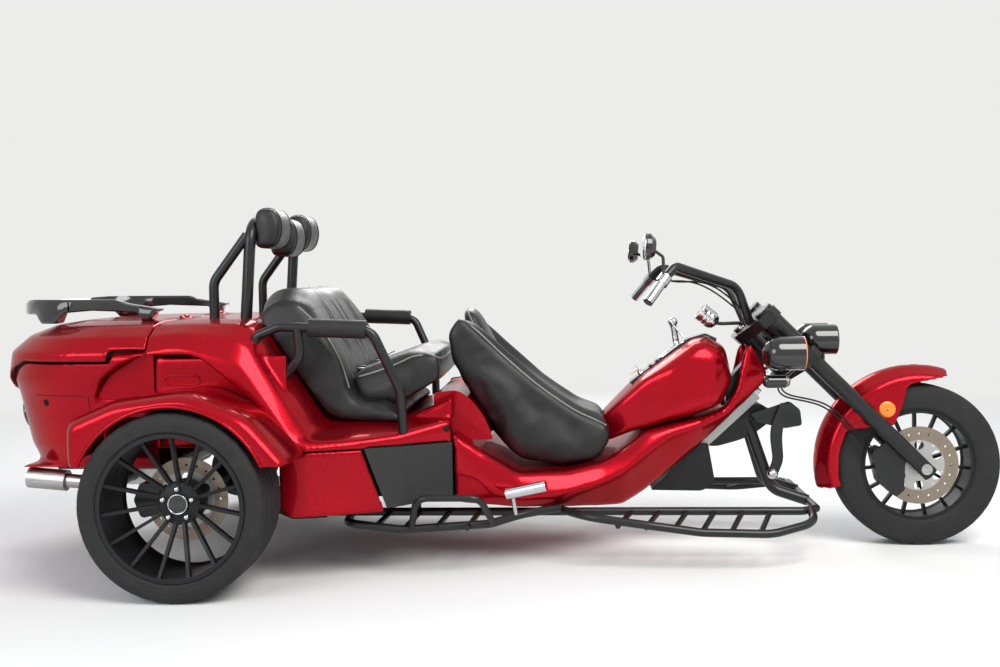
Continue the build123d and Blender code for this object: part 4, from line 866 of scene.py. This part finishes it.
class TRIKE_OT_bodywork(bpy.types.Operator):
    """Lacquered mouldings with soft, flowing surfaces"""
    bl_idname = "trike.bodywork"
    bl_label = "Bodywork"

    mouldings = [
        # node, piece, square, smoothing rounds, furthest move, share of faces kept, body, nodes beside
        ("rear_body", "deck_moulding", 0.0068, 34, 0.006, 0.45, "chassis",
         ("trunk_lid", "trunk_tub", "side_skirts", "front_fairing")),
        ("trunk_lid", "lid_moulding", 0.0056, 30, 0.004, 0.6, "trunk_lid", ("rear_body", "trunk_tub")),
        ("trunk_tub", "tail_moulding", 0.0066, 30, 0.005, 0.6, "chassis", ("trunk_lid", "rear_body")),
        ("rear_fenders", "mudguard_mouldings", 0.008, 18, 0.004, 1.0, "chassis", ()),
        ("side_skirts", "skirt_mouldings", 0.0068, 8, 0.003, 1.0, "chassis", ()),
        ("front_fairing", "fairing_moulding", 0.008, 46, 0.014, 1.0, "chassis", ("rear_body",)),
        ("fuel_tank", "tank_moulding", 0.0062, 40, 0.010, 1.0, "chassis", ()),
        ("front_fender", "front_mudguard_moulding", 0.0058, 12, 0.005, 1.0, "steering", ()),
    ]
    # Plates, as (ahead, up, corner) outlines in millimetres
    mudguard_tip = [(-58, 150, 0), (-58, 262, 20), (-42, 308, 20), (150, 347, 0), (220, 300, 0), (220, 150, 0)]
    bridge = [(800, 455, 10), (800, 622, 10), (883, 632, 30), (932, 597, 40), (978, 535, 30), (1010, 455, 10)]
    grille_liner = [(310, 262, 10), (310, 452, 10), (868, 452, 10), (868, 262, 10)]
    gap_liner = [(770, 250, 10), (770, 480, 10), (900, 480, 10), (900, 250, 10)]
    arch_wall = [(-455, 440, 10), (-455, 745, 60), (-157, 800, 10), (-157, 430, 10)]
    belly = [(-440, 222, 6), (-243, 218, 20), (-196, 250, 20), (-222, 400, 6), (-250, 400, 6)]
    scoop = [(-242, 392, 10), (-190, 384, 40), (-60, 420, 60), (40, 498, 6), (36, 514, 6), (-30, 552, 20),
             (-130, 480, 30)]
    cooler = [(300, 378, 4), (332, 356, 4), (566, 572, 4), (536, 600, 4)]
    pedal_bracket = [(-61, 513, 8), (81, 561, 10), (119, 530, 12), (126, 473, 10), (63, 462, 14),
                     (-40, 486, 10)]
    pedal_arm = [(47, 556, 10), (84, 552, 10), (46, 455, 60), (54, 341, 40), (34, 292, 8), (4, 300, 8),
                 (20, 341, 30), (6, 455, 60)]
    head_x = 0.9801
    tank_x = 0.3901
    # Heights of the luggage rail's top and underside above the deck, by distance from the lid's rear
    rail_top = [(0.026, 0.026), (0.036, 0.050), (0.090, 0.061), (0.130, 0.064), (0.456, 0.061),
                (0.500, 0.046), (0.622, 0.026)]
    rail_under = [(0.026, 0.016), (0.044, 0.008), (0.146, 0.010), (0.160, -0.024), (0.244, -0.024),
                  (0.262, 0.014), (0.372, 0.022), (0.544, 0.014), (0.556, -0.016), (0.594, -0.016),
                  (0.604, 0.015), (0.622, 0.020)]
    fittings = [
        # name, moulding, ahead of the axle, height, radius, height of the head, finish
        ("flank_bolt_rear", "deck_moulding", 856, 512, 0.0085, 0.006, "seam"),
        ("tail_plug", "tail_moulding", -556, 626, 0.009, 0.004, "seam"),
        ("flank_bolt_front", "seat_bridge", 928, 513, 0.0085, 0.006, "seam"),
        ("flank_lock", "seat_bridge", 963, 470, 0.0125, 0.007, "chrome"),
    ]

    def execute(self, context):
        cutter = self.tip_cutter()
        for node, name, square, rounds, most, kept, body, beside in self.mouldings:
            moulding = skin_of(node, name, square, cutter if node == "front_fender" else None)
            relax(moulding, rounds, most, beside)
            if kept < 1.0:
                fewer = moulding.modifiers.new("fewer", "DECIMATE")
                fewer.ratio = kept
                bake(moulding)
            finish_skin(moulding, node, "red_paint", body)
        bpy.data.objects.remove(cutter)
        context.view_layer.update()
        self.tail = bpy.data.objects["tail_moulding"]
        self.seal()
        self.plates()
        self.lips()
        context.view_layer.update()
        self.seams()
        self.fasteners()
        self.rail()
        self.pedal()
        self.tail_lamps()
        return {"FINISHED"}

    def tip_cutter(self):
        """Slanted plate that gives the front mudguard its pointed tip."""
        points, faces = side_plate(self.mudguard_tip, front_axle.x, 0.0, 0.2)
        mesh = bpy.data.meshes.new("tip_cutter")
        mesh.from_pydata([(x, y, z + front_axle.z) for x, y, z in points], [], faces)
        mesh.validate()
        shape = bmesh.new()
        shape.from_mesh(mesh)
        bmesh.ops.remove_doubles(shape, verts=shape.verts, dist=0.00001)
        bmesh.ops.recalc_face_normals(shape, faces=shape.faces)
        shape.to_mesh(mesh)
        shape.free()
        return linked("tip_cutter", mesh)

    def seal(self):
        """Black rubber seal along the sides of the lid's parting line, set in behind the gap, where it also
        stands in for the shade in the gap.
        """
        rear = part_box("trunk_tub")[0].x - 0.03
        line = [(0.075, 0.735), (0.1, 0.75), (0.135, 0.764), (0.17, 0.773), (0.25, 0.775), (0.35, 0.775),
                (0.43, 0.775), (0.475, 0.777), (0.54, 0.815), (0.6, 0.816)]
        for word, sign in side_sign.items():
            points = []
            for along, z in line:
                spot, normal = struck(self.tail, (rear + along, sign, z - 0.022), (0, -sign, 0))
                # The seal sits 14 mm inside the surface, where it darkens the gap like painted shade.
                points.append(Vector((spot.x, spot.y - sign * 0.014, z)))
            cable(f"lid_seal_{word}", points, 0.009, "seam", "chassis", order=3)

    def plates(self):
        """Bridge, arch walls, inner walls of the flanks, nose covers and cooler."""
        crisp(Builder().plate(self.bridge, rear_axle_x, 0.0, 0.30)
              .piece("seat_bridge", "red_paint", "chassis"), 0.012)
        walls = Builder()
        for word, sign in side_sign.items():
            walls.plate(self.grille_liner, rear_axle_x, sign * 0.40, 0.002)
            walls.plate(self.gap_liner, rear_axle_x, sign * 0.36, 0.002)
            crisp(Builder().plate(self.arch_wall, rear_axle_x, sign * 0.553, 0.004)
                  .piece(f"arch_wall_{word}", "red_paint", "chassis"), 0.0015)
        walls.piece("flank_liners", "cover_plastic", "chassis")
        crisp(Builder().plate(self.belly, self.head_x, 0.0, 0.09).plate(self.scoop, self.head_x, 0.0, 0.062)
              .piece("nose_covers", "cover_plastic", "chassis"), 0.003)
        cooler = Builder().plate(self.cooler, self.tank_x, 0.0, 0.070)
        cooler = crisp(cooler.piece("cooler_strip", "aluminium", "chassis"), 0.003)
        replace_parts(cooler, "radiator")

    def rail(self):
        """Flat glossy luggage rail that follows the tail in plan, with hooked feet."""
        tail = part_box("trunk_lid")[0].x
        width, rear = 0.052, 0.030
        corner = 0.26
        middle = 0.425 - width / 2
        bend = corner - width / 2

        def level(rows, x):
            for (x0, z0), (x1, z1) in zip(rows, rows[1:]):
                if x <= x1:
                    return z0 + (z1 - z0) * max(x - x0, 0.0) / (x1 - x0)
            return rows[-1][1]

        line = [(x / 1000, middle, 0.0) for x in range(620, 282, -8)]
        line += [(rear + corner - bend * sin(radians(a)), middle - bend + bend * cos(radians(a)), radians(a))
                 for a in range(0, 91, 4)]
        line += [(rear + width / 2, y / 1000, pi / 2) for y in range(150, 0, -15)]
        line += [(x, -y, pi - a) for x, y, a in reversed(line)]
        section = [(-1, 0.12), (-0.82, 0.0), (0.82, 0.0), (1, 0.12), (1, 0.8), (0.7, 1.0), (-0.7, 1.0),
                   (-1, 0.8)]
        points = []
        for x, y, turn in line:
            for share, rise in section:
                spot_x = x - sin(turn) * share * width / 2
                low, high = level(self.rail_under, spot_x), level(self.rail_top, spot_x)
                points.append((tail + spot_x, y + cos(turn) * share * width / 2,
                               deck_top + low + (high - low) * rise))
        count = len(section)
        faces = grid(len(line), count)
        faces += [tuple(range(count)), tuple(range(len(points) - 1, len(points) - 1 - count, -1))]
        mesh = mesh_of("rail", points, faces)
        mesh.validate()
        rail = add_piece("luggage_rail", mesh, "gloss_black", "trunk_lid")
        mesh.set_sharp_from_angle(angle=radians(40))
        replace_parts(rail, "lid_rail")

    def pedal(self):
        """Foot pedal with its bracket, pivot and ball end."""
        pedal = Builder().plate(self.pedal_bracket, self.head_x, -0.108, 0.005)
        pedal.plate(self.pedal_arm, self.head_x, -0.120, 0.009)
        pedal.lathe([(0.012, 0.0), (0.012, 0.09)], (self.head_x - 0.046, -0.108, 0.503), (0, 1, 0), 20)
        crisp(pedal.piece("pedal_arm", "black_frame", "chassis"), 0.002)
        centre = (self.head_x + 0.016, -0.122, 0.288)
        ball = [(0.0005, -0.0215)] + [(0.0215 * cos(radians(a)), 0.0215 * sin(radians(a)))
                                     for a in range(-80, 81, 10)] + [(0.0005, 0.0215)]
        collar = [(0.014, 0.016), (0.017, 0.019), (0.014, 0.022), (0.009, 0.034)]
        (Builder().lathe(ball, centre, (0, 1, 0), 28).lathe(collar, centre, (0, 1, 0), 28)
         .piece("pedal_ball", "chrome", "chassis"))

    def tail_lamps(self):
        """Round tail lamps set flush in the rear of the tail."""
        low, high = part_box("tail_lamps")
        lenses, rims = Builder(), Builder()
        for sign in side_sign.values():
            spot, normal = struck(self.tail, (low.x - 0.2, sign * (high.y - 0.052), (low.z + high.z) / 2),
                                  (1, 0, 0))
            lenses.lathe([(0.046, -0.006)] + dome(0.044, 0.012), spot, normal, 40)
            rims.lathe([(0.05, -0.008), (0.051, 0.001), (0.048, 0.004), (0.045, 0.002)], spot, normal, 40)
        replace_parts(lenses.piece("tail_lenses", "lamp_red", "chassis"), "tail_lamps")
        rims.piece("tail_rims", "gloss_black", "chassis")

    def lips(self):
        """Rolled bead along the wheel edge of each rear mudguard."""
        for word, sign in side_sign.items():
            centre = Vector((rear_axle[word].x, 0.868 * sign, rear_axle[word].z))
            cable(f"mudguard_lip_{word}", [around(centre, 0.3335, a) for a in range(24, 157, 6)],
                  sizes().lip, "red_paint", "chassis")

    def seams(self):
        """Panel joints and the pressed slot in the wheel arch."""
        deck = bpy.data.objects["deck_moulding"]
        for word, sign in side_sign.items():
            side = sign * 0.62
            level = [ahead(s, side, 653) for s in range(-600, -384, 18)]
            upright = [ahead(-385, side, z) for z in range(470, 654, 15)]
            for name, joint in (("tail_joint", level), ("tail_joint_upright", upright)):
                cable(f"{name}_{word}", surface_line(self.tail, joint, (0, -sign, 0), -0.0004), 0.0017,
                      "seam", "chassis", order=3)
            angles = [2 * pi * step / 24 for step in range(24)]
            slot = [ahead(-52 + 62 * power(cos(a), 0.45), side, 704 + 17 * power(sin(a), 0.8))
                    for a in angles]
            cable(f"arch_slot_{word}", surface_line(deck, slot, (0, -sign, 0), 0.0), 0.003, "red_paint",
                  "chassis", closed=True, order=3)

    def fasteners(self):
        """Bolts, plugs and the lock on the flanks."""
        for name, moulding, s, z, radius, head, finish in self.fittings:
            for word, sign in side_sign.items():
                spot, normal = struck(bpy.data.objects[moulding], ahead(s, sign, z), (0, -sign, 0))
                washer = [(radius * 1.35, -0.002), (radius * 1.35, head * 0.3)]
                socket = [(radius * 0.3, head), (radius * 0.28, head + 0.0006), (0.0002, head * 0.8)]
                (Builder().lathe(washer + dome(radius, head, radius * 0.4), spot, normal, 24)
                 .lathe(socket, spot, normal, 16).piece(f"{name}_{word}", finish, "chassis"))


class TRIKE_OT_seats(bpy.types.Operator):
    """Leather seats, backrests and head pads, filled by a cloth simulation"""
    bl_idname = "trike.seats"
    bl_label = "Seats and pads"

    pads = [
        # node, piece, voxel share, swell share, fill, side that stays flat
        ("front_seat", "driver_seat_cover", 1.3, 1.0, 0.75, (0.35, 0.0, -0.94)),
        ("rear_seat", "rear_seat_cover", 1.6, 1.0, 0.7, (-0.6, 0.0, -0.8)),
        ("rear_cushion", "rear_seat_cushion", 1.25, 1.1, 0.75, (0.2, 0.0, -0.98)),
        ("head_pads", "head_pad_covers", 0.95, 0.8, 0.8, (-1.0, 0.0, 0.0)),
    ]

    def bucket(self, cover):
        """Hollow between the side bolsters of the driver's seat, deepest at the back."""
        low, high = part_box("front_seat")
        out = Vector((0.55, 0.0, 0.83)).normalized()
        for vertex in cover.data.vertices:
            facing = ease(vertex.normal.dot(out), 0.0, 0.5)
            inside = 1.0 - ease(abs(vertex.co.y), 0.10, 0.18)
            back = 1.0 - 0.55 * ease(vertex.co.x, low.x + 0.18, low.x + 0.36)
            front = 1.0 - ease(vertex.co.x, high.x - 0.17, high.x - 0.05)
            vertex.co -= out * (0.05 * inside * back * front * facing)

    def back_pad(self):
        """Separate oval pad on the back of the driver's seat."""
        matrix = (Matrix.Translation(ahead(958, 0, 822)) @ Matrix.Rotation(radians(-28), 4, "Y")
                  @ Matrix(((0, 0, 1, 0), (1, 0, 0, 0), (0, 1, 0, 0), (0, 0, 0, 1))))
        cover = Builder().add(*crowned(0.118, 0.115, 0.034), matrix)
        cover = cover.piece("driver_back_pad", "leather", "chassis")
        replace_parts(cover, "driver_backrest")
        angles = [2 * pi * k / 48 for k in range(48)]
        edge = [matrix @ Vector((0.119 * power(cos(a), 0.6), 0.116 * power(sin(a), 0.6), 0.0))
                for a in angles]
        # The pale piping round the pad's edge is real piping that also paints a highlight there.
        cable("driver_back_piping", edge, sizes().piping, "piping", "chassis", closed=True, order=3)

    def stitching(self):
        """Piping and sewn seams, laid on the filled covers. The pale piping is real piping whose pale grey
        also paints the highlight along the bolster edges.
        """
        driver, rear, cushion, pads = (bpy.data.objects[row[1]] for row in self.pads)
        piping = sizes().piping
        bolster = [(905, 918), (945, 872), (990, 825), (1040, 777), (1110, 715), (1187, 646), (1260, 592),
                   (1333, 548), (1400, 520), (1440, 500)]
        face = [(302, 1040), (325, 1010), (352, 965), (385, 912), (420, 850), (455, 790), (491, 730),
                (530, 672)]
        seams = [(0.425, piping, "piping"), (0.24, 0.0016, "seam"), (0.20, 0.0016, "seam"),
                 (0.045, 0.0016, "seam")]
        for word, sign in side_sign.items():
            line = surface_line(driver, [ahead(s, sign * 0.206, z) for s, z in bolster],
                                (-0.6, 0, -0.8), 0.0012)
            cable(f"driver_piping_{word}", line, piping, "piping", "chassis", order=3)
            for place, radius, finish in seams:
                line = surface_line(rear, [ahead(s, sign * place, z) for s, z in face], (-0.87, 0, -0.5),
                                    0.0004)
                cable(f"rear_seam_{word}_{int(place * 1000)}", line, radius, finish, "chassis", order=3)
        rim = [ahead(s, -0.352, 700 + (s - 534) * 0.35) for s in range(450, 800, 40)]
        rim += [ahead(806, y / 10, 790) for y in range(-3, 4)]
        rim += [ahead(s, 0.352, 700 + (s - 534) * 0.35) for s in range(770, 440, -40)]
        cable("cushion_piping", surface_line(cushion, rim, (0.1, 0, -1.0), 0.0004), piping, "piping",
              "chassis", order=3)
        low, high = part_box("head_pads")
        for index, (y, drop) in enumerate(((-0.236, 0.0), (0.0, 0.026), (0.236, 0.0))):
            for turn, shift in enumerate((-0.07, 0.07)):
                centre = ((low.x + high.x) / 2, y + shift, high.z - 0.088 - drop)
                cable(f"head_pad_piping_{index}_{turn}", girdle(pads, centre, 0.2, 0.0003), 0.0024, "seam",
                      "chassis", closed=True, order=3)

    def belts(self):
        """Lap belts lying in the fold between the rear back and cushion."""
        cushion = bpy.data.objects["rear_seat_cushion"]
        lap = [(455, 0.30), (500, 0.25), (520, 0.20), (505, 0.14), (525, 0.09)]
        tail = [(450, 0.10), (490, 0.13), (540, 0.155), (590, 0.15)]
        for word, sign in side_sign.items():
            for name, rows, lift in (("belt_tail", tail, 0.012), ("lap_belt", lap, 0.006)):
                line = surface_line(cushion, [ahead(s, sign * y, 700) for s, y in rows], (0.1, 0, -1.0), lift)
                strap(f"{name}_{word}", line, 0.019, "chassis")
            spot = line[-2] + Vector((0, 0, 0.012))
            (Builder().block((0.034, 0.075, 0.02), 0.005, spot)
             .block((0.02, 0.016, 0.006), 0.002, spot + Vector((0, 0.02, 0.011)))
             .piece(f"belt_buckle_{word}", "gloss_black", "chassis"))

    def round_back(self, cover):
        """Draw in the upper corners of the rear seat's back."""
        low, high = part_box("rear_seat")
        for vertex in cover.data.vertices:
            up = ease(vertex.co.z, high.z - 0.2, high.z)
            side = ease(abs(vertex.co.y), high.y - 0.16, high.y)
            vertex.co.z -= 0.05 * up * side
            vertex.co.x += 0.02 * up * side
            vertex.co.y *= 1.0 - 0.05 * up

    def fill(self, covers):
        """Blow all covers up together with cloth pressure, and cap how far a point moves."""
        starts = {cover.name: [v.co.copy() for v in cover.data.vertices] for cover, swell, down in covers}
        for cover, swell, down in covers:
            cloth = cover.modifiers.new("fill", "CLOTH")
            cloth.settings.quality = 4
            cloth.settings.mass = 0.35
            cloth.settings.tension_stiffness = 22.0
            cloth.settings.compression_stiffness = 22.0
            cloth.settings.bending_stiffness = 0.6
            cloth.settings.use_pressure = True
            cloth.settings.uniform_pressure_force = sizes().pad_pressure
            cloth.settings.effector_weights.gravity = 0.0
            cloth.collision_settings.use_collision = False
            cloth.point_cache.frame_start = 1
            cloth.point_cache.frame_end = 20
        for step in range(1, 21):
            bpy.context.scene.frame_set(step)
        for cover, swell, down in covers:
            bake(cover)
            limit = sizes().pad_swell * swell
            down = Vector(down).normalized()
            for vertex, start in zip(cover.data.vertices, starts[cover.name]):
                move = vertex.co - start
                resting = min(max(vertex.normal.dot(down) * 2.0, 0.0), 1.0)
                cap = limit * (1.0 - resting)
                if move.length > cap:
                    move *= cap / max(move.length, 1e-9)
                vertex.co = start + move
        bpy.context.scene.frame_set(1)

    def execute(self, context):
        covers = []
        for node, piece, voxel, swell, fill, flat in self.pads:
            cover = skin_of(node, piece, sizes().pad_voxel * voxel)
            relax(cover, 10, 0.02)
            if node == "front_seat":
                self.bucket(cover)
            if node == "rear_seat":
                self.round_back(cover)
            covers.append((cover, swell, flat))
        self.fill(covers)
        for (cover, swell, flat), (node, piece, voxel, share, fill, side) in zip(covers, self.pads):
            relax(cover, 34 if node == "head_pads" else 14, 0.014)
            level = cover.modifiers.new("level", "SUBSURF")
            level.levels = 1
            bake(cover)
            finish_skin(cover, node, "leather", "chassis")
        bpy.context.view_layer.update()
        self.back_pad()
        self.stitching()
        self.belts()
        return {"FINISHED"}


class TRIKE_OT_lamps(bpy.types.Operator):
    """Lenses, bezels and reflectors"""
    bl_idname = "trike.lamps"
    bl_label = "Lamps"

    def lens(self, name, centre, radius, depth, finish, axis=(1, 0, 0)):
        """A domed lens on a lamp's face."""
        rows = [(radius, -0.002)] + dome(radius * 0.98, depth)
        Builder().lathe(rows, centre, axis, 40).piece(name, finish, "steering")

    def rim(self, name, centre, radius, finish):
        """A rounded bezel ring."""
        rows = [(radius + 0.003 * cos(t * pi / 5), 0.003 * sin(t * pi / 5)) for t in range(11)]
        Builder().lathe(rows, centre, (1, 0, 0), 48).piece(name, finish, "steering")

    def execute(self, context):
        low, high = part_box("lamps")
        main_radius, spot_radius = 0.062, 0.057
        for word, sign in side_sign.items():
            main = (low.x + 0.148, sign * 0.232, 0.754)
            self.lens(f"main_lens_{word}", main, main_radius * 0.9, 0.008, "lens")
            # The amber rim glows a little: painted light, as a rim is no lamp.
            self.rim(f"main_rim_{word}", main, main_radius * 0.955, "amber")
            spot = (high.x, sign * 0.066, high.z - spot_radius)
            self.lens(f"spot_lens_{word}", spot, spot_radius * 0.9, 0.006, "lens")
            self.rim(f"spot_rim_{word}", spot, spot_radius * 0.955, "gloss_black")
            signal, normal = struck(nodes["indicators"], (1.22, sign * 0.226, 0.65), (-1, 0, 0))
            self.lens(f"signal_lens_{word}", signal, 0.0215, 0.018, "lens")
            tab = front_axle + Vector((-0.126, sign * 0.0925, 0.217))
            # The amber reflector glows a little: painted light, as a reflector is no lamp.
            self.lens(f"side_reflector_{word}", tab, 0.031, 0.006, "amber", (0, sign, 0))
        return {"FINISHED"}


class TRIKE_OT_cockpit(bpy.types.Operator):
    """Gauge, mirrors, lever, cables, dash and fork fittings"""
    bl_idname = "trike.cockpit"
    bl_label = "Cockpit"

    dash_slope = Vector((0.804, 0.0, 0.594))
    dash_up = Vector((-0.594, 0.0, 0.804))
    gauge_rows = [
        (0.0005, -0.078), (0.016, -0.077), (0.026, -0.070), (0.033, -0.058), (0.0355, -0.050),
        (0.0355, -0.036), (0.0335, -0.034), (0.0355, -0.032), (0.0355, -0.020), (0.0335, -0.018),
        (0.0355, -0.016), (0.0355, -0.003), (0.0375, 0.0), (0.0365, 0.004), (0.031, 0.005), (0.030, 0.002)]
    hose_route = [(2098, 668), (2086, 622), (2104, 590), (2164, 578), (2238, 563), (2294, 533), (2349, 470),
                  (2400, 425), (2440, 375)]

    def execute(self, context):
        self.gauge()
        self.mirrors()
        self.cables()
        self.lever()
        self.dash()
        self.bolts()
        self.tank()
        return {"FINISHED"}

    def lever(self):
        """Chrome lever with a ball knob on the dash."""
        foot, top = Vector((0.6522, 0.022, 0.765)), Vector((0.6382, 0.022, 0.862))
        reach = (top - foot).length
        rows = [(0.026, -0.012), (0.026, 0.0), (0.0225, 0.005), (0.0128, 0.008), (0.0128, 0.03),
                (0.0138, 0.034), (0.0128, 0.038), (0.0126, reach - 0.02)]
        rows += [(0.0187 * sin(radians(a)), reach - 0.0187 * cos(radians(a))) for a in range(42, 181, 12)]
        Builder().lathe(rows, foot, top - foot, 40).piece("gear_lever", "chrome", "chassis")

    def dash(self):
        """Bright bezel, switches, key and tag on the dash plate."""
        slope, up = self.dash_slope, self.dash_up
        trim = nodes["dash_trim"]
        outline = []
        for step in range(32):
            angle = 2 * pi * step / 32
            outline.append(Vector((0.632, 0, 0.757)) + slope * 0.062 * power(cos(angle), 0.7)
                           + Vector((0, 0.027 * power(sin(angle), 0.7), 0)))
        cable("dash_bezel", surface_line(trim, outline, -up, 0.001), 0.0035, "chrome", "chassis",
              closed=True, order=3)
        turn = Matrix(((slope.x, 0, up.x, 0), (0, 1, 0, 0), (slope.z, 0, up.z, 0), (0, 0, 0, 1)))
        places = [(x, y, 0.62 + (x - 0.45) * 0.74) for x in (0.548, 0.573) for y in (-0.014, 0.014)]
        switches = Builder()
        for spot in surface_line(trim, places, -up, 0.0):
            switches.block((0.016, 0.02, 0.012), 0.002, spot, turn)
        switches.piece("dash_switches", "gloss_black", "chassis")
        spot = surface_line(trim, [(0.512, 0, 0.665)], -up, 0.0)[0]
        barrel = [(0.0135, -0.004), (0.0135, 0.004), (0.0105, 0.007), (0.0095, 0.014), (0.0005, 0.014)]
        (Builder().lathe(barrel, spot, up, 28).block((0.004, 0.012, 0.03), 0.0012, spot + up * 0.024, turn)
         .piece("key_switch", "chrome", "chassis"))
        (Builder().block((0.03, 0.018, 0.0035), 0.0015, spot - slope * 0.02 + up * 0.018, turn)
         .piece("key_tag", "tag", "chassis"))

    def bolts(self):
        """Bright bolts on the fork clamps."""
        heads = Builder()
        radius = 0.0075
        rows = [(radius * 1.5, -0.003), (radius * 1.5, 0.002)] + dome(radius, 0.009, radius * 0.5)
        for sign in side_sign.values():
            for x, z in ((0.897, 0.838), (0.935, 0.765)):
                spot, normal = struck(nodes["triple_clamps"], (x, sign * 0.6, z), (0, -sign, 0))
                heads.lathe(rows, spot, (0, sign, 0), 28)
        heads.piece("fork_bolts", "chrome", "steering")

    def tank(self):
        """Ribbed end tank of the radiator."""
        lean = Matrix.Rotation(radians(-52), 4, "Y")
        tank = Builder().block((0.05, 0.136, 0.026), 0.006, (0.941, 0, 0.588), lean)
        for step in range(-2, 3):
            tank.block((0.052, 0.004, 0.028), 0.0015, (0.941, step * 0.026, 0.588), lean)
        tank.piece("radiator_tank", "chrome", "chassis")

    def gauge(self):
        """Polished round gauge with two grooves, a pale dial and its stalk."""
        low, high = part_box("instrument_pod")
        axis = Vector((-0.775, 0, 0.632))
        face = Vector((low.x + 0.0215, 0, high.z - 0.026))
        body = Builder().lathe(self.gauge_rows, face, axis, 56).piece("gauge_body", "chrome", "steering")
        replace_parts(body, "instrument_pod")
        (Builder().lathe([(0.030, 0.002), (0.0005, 0.0022)], face, axis, 40)
         .piece("gauge_dial", "dial", "steering"))
        (Builder().block((0.0022, 0.024, 0.0012), 0.0004, face + axis * 0.0035 + Vector((0, 0.006, 0.0)),
                         basis(axis)).piece("gauge_needle", "tag", "steering"))
        cable("gauge_stalk", [face - axis * 0.06, face - axis * 0.085,
                              Vector((high.x - 0.05, 0, low.z + 0.022)), Vector((high.x, 0, low.z + 0.02))],
              0.007, "black_frame", "steering")

    def mirrors(self):
        """Mirror glass on the rear of each mirror."""
        low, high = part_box("mirrors")
        for word, sign in side_sign.items():
            centre = (low.x + 0.001, sign * (high.y - 0.048), high.z - 0.048)
            (Builder().lathe([(0.045, -0.001), (0.045, 0.0015), (0.0005, 0.0035)], centre,
                             (-1.0, sign * 0.12, 0.08), 40)
             .piece(f"mirror_glass_{word}", "mirror_glass", "steering"))

    def cables(self):
        """Control cables from the grips to the fork, and brake hoses to the front calliper."""
        low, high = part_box("handlebar")
        for word, sign in side_sign.items():
            start = Vector((low.x + 0.01, sign * 0.315, high.z - 0.06))
            points = [start, start + Vector((0.05, -sign * 0.03, -0.02)),
                      (low.x + 0.16, sign * 0.2, high.z - 0.045),
                      (high.x - 0.08, sign * 0.1, low.z + 0.1), (high.x + 0.01, sign * 0.05, low.z)]
            cable(f"control_cable_{word}", points, sizes().cable, "seam", "steering")
        for index, shift in enumerate((0.0, 0.011)):
            points = [ahead(s - 900 * shift, -0.118 + shift * 0.5, z - 800 * shift)
                      for s, z in self.hose_route]
            cable(f"brake_hose_{index}", points, 0.0032, "seam", "steering")


class TRIKE_PT_panel(bpy.types.Panel):
    """Sidebar panel that lists the steps"""
    bl_label = "Motorized Trike"
    bl_idname = "TRIKE_PT_panel"
    bl_space_type = "VIEW_3D"
    bl_region_type = "UI"
    bl_category = "Trike"

    def draw(self, context):
        for operator in operators:
            self.layout.operator(operator.bl_idname)


operators = (TRIKE_OT_stage, TRIKE_OT_finishes, TRIKE_OT_bodywork, TRIKE_OT_tyres,
             TRIKE_OT_wheel_trim, TRIKE_OT_seats, TRIKE_OT_lamps, TRIKE_OT_cockpit)
classes = (TrikeSizes, TrikeColours, *operators, TRIKE_PT_panel)


def register():
    for cls in classes:
        bpy.utils.register_class(cls)
    bpy.types.Scene.trike_sizes = bpy.props.PointerProperty(type=TrikeSizes)
    bpy.types.Scene.trike_colours = bpy.props.PointerProperty(type=TrikeColours)


def unregister():
    del bpy.types.Scene.trike_colours
    del bpy.types.Scene.trike_sizes
    for cls in reversed(classes):
        bpy.utils.unregister_class(cls)


def main():
    """Run every step in order."""
    register()
    for operator in operators:
        group, step = operator.bl_idname.split(".")
        getattr(getattr(bpy.ops, group), step)()
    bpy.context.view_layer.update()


if __name__ == "__main__":
    main()
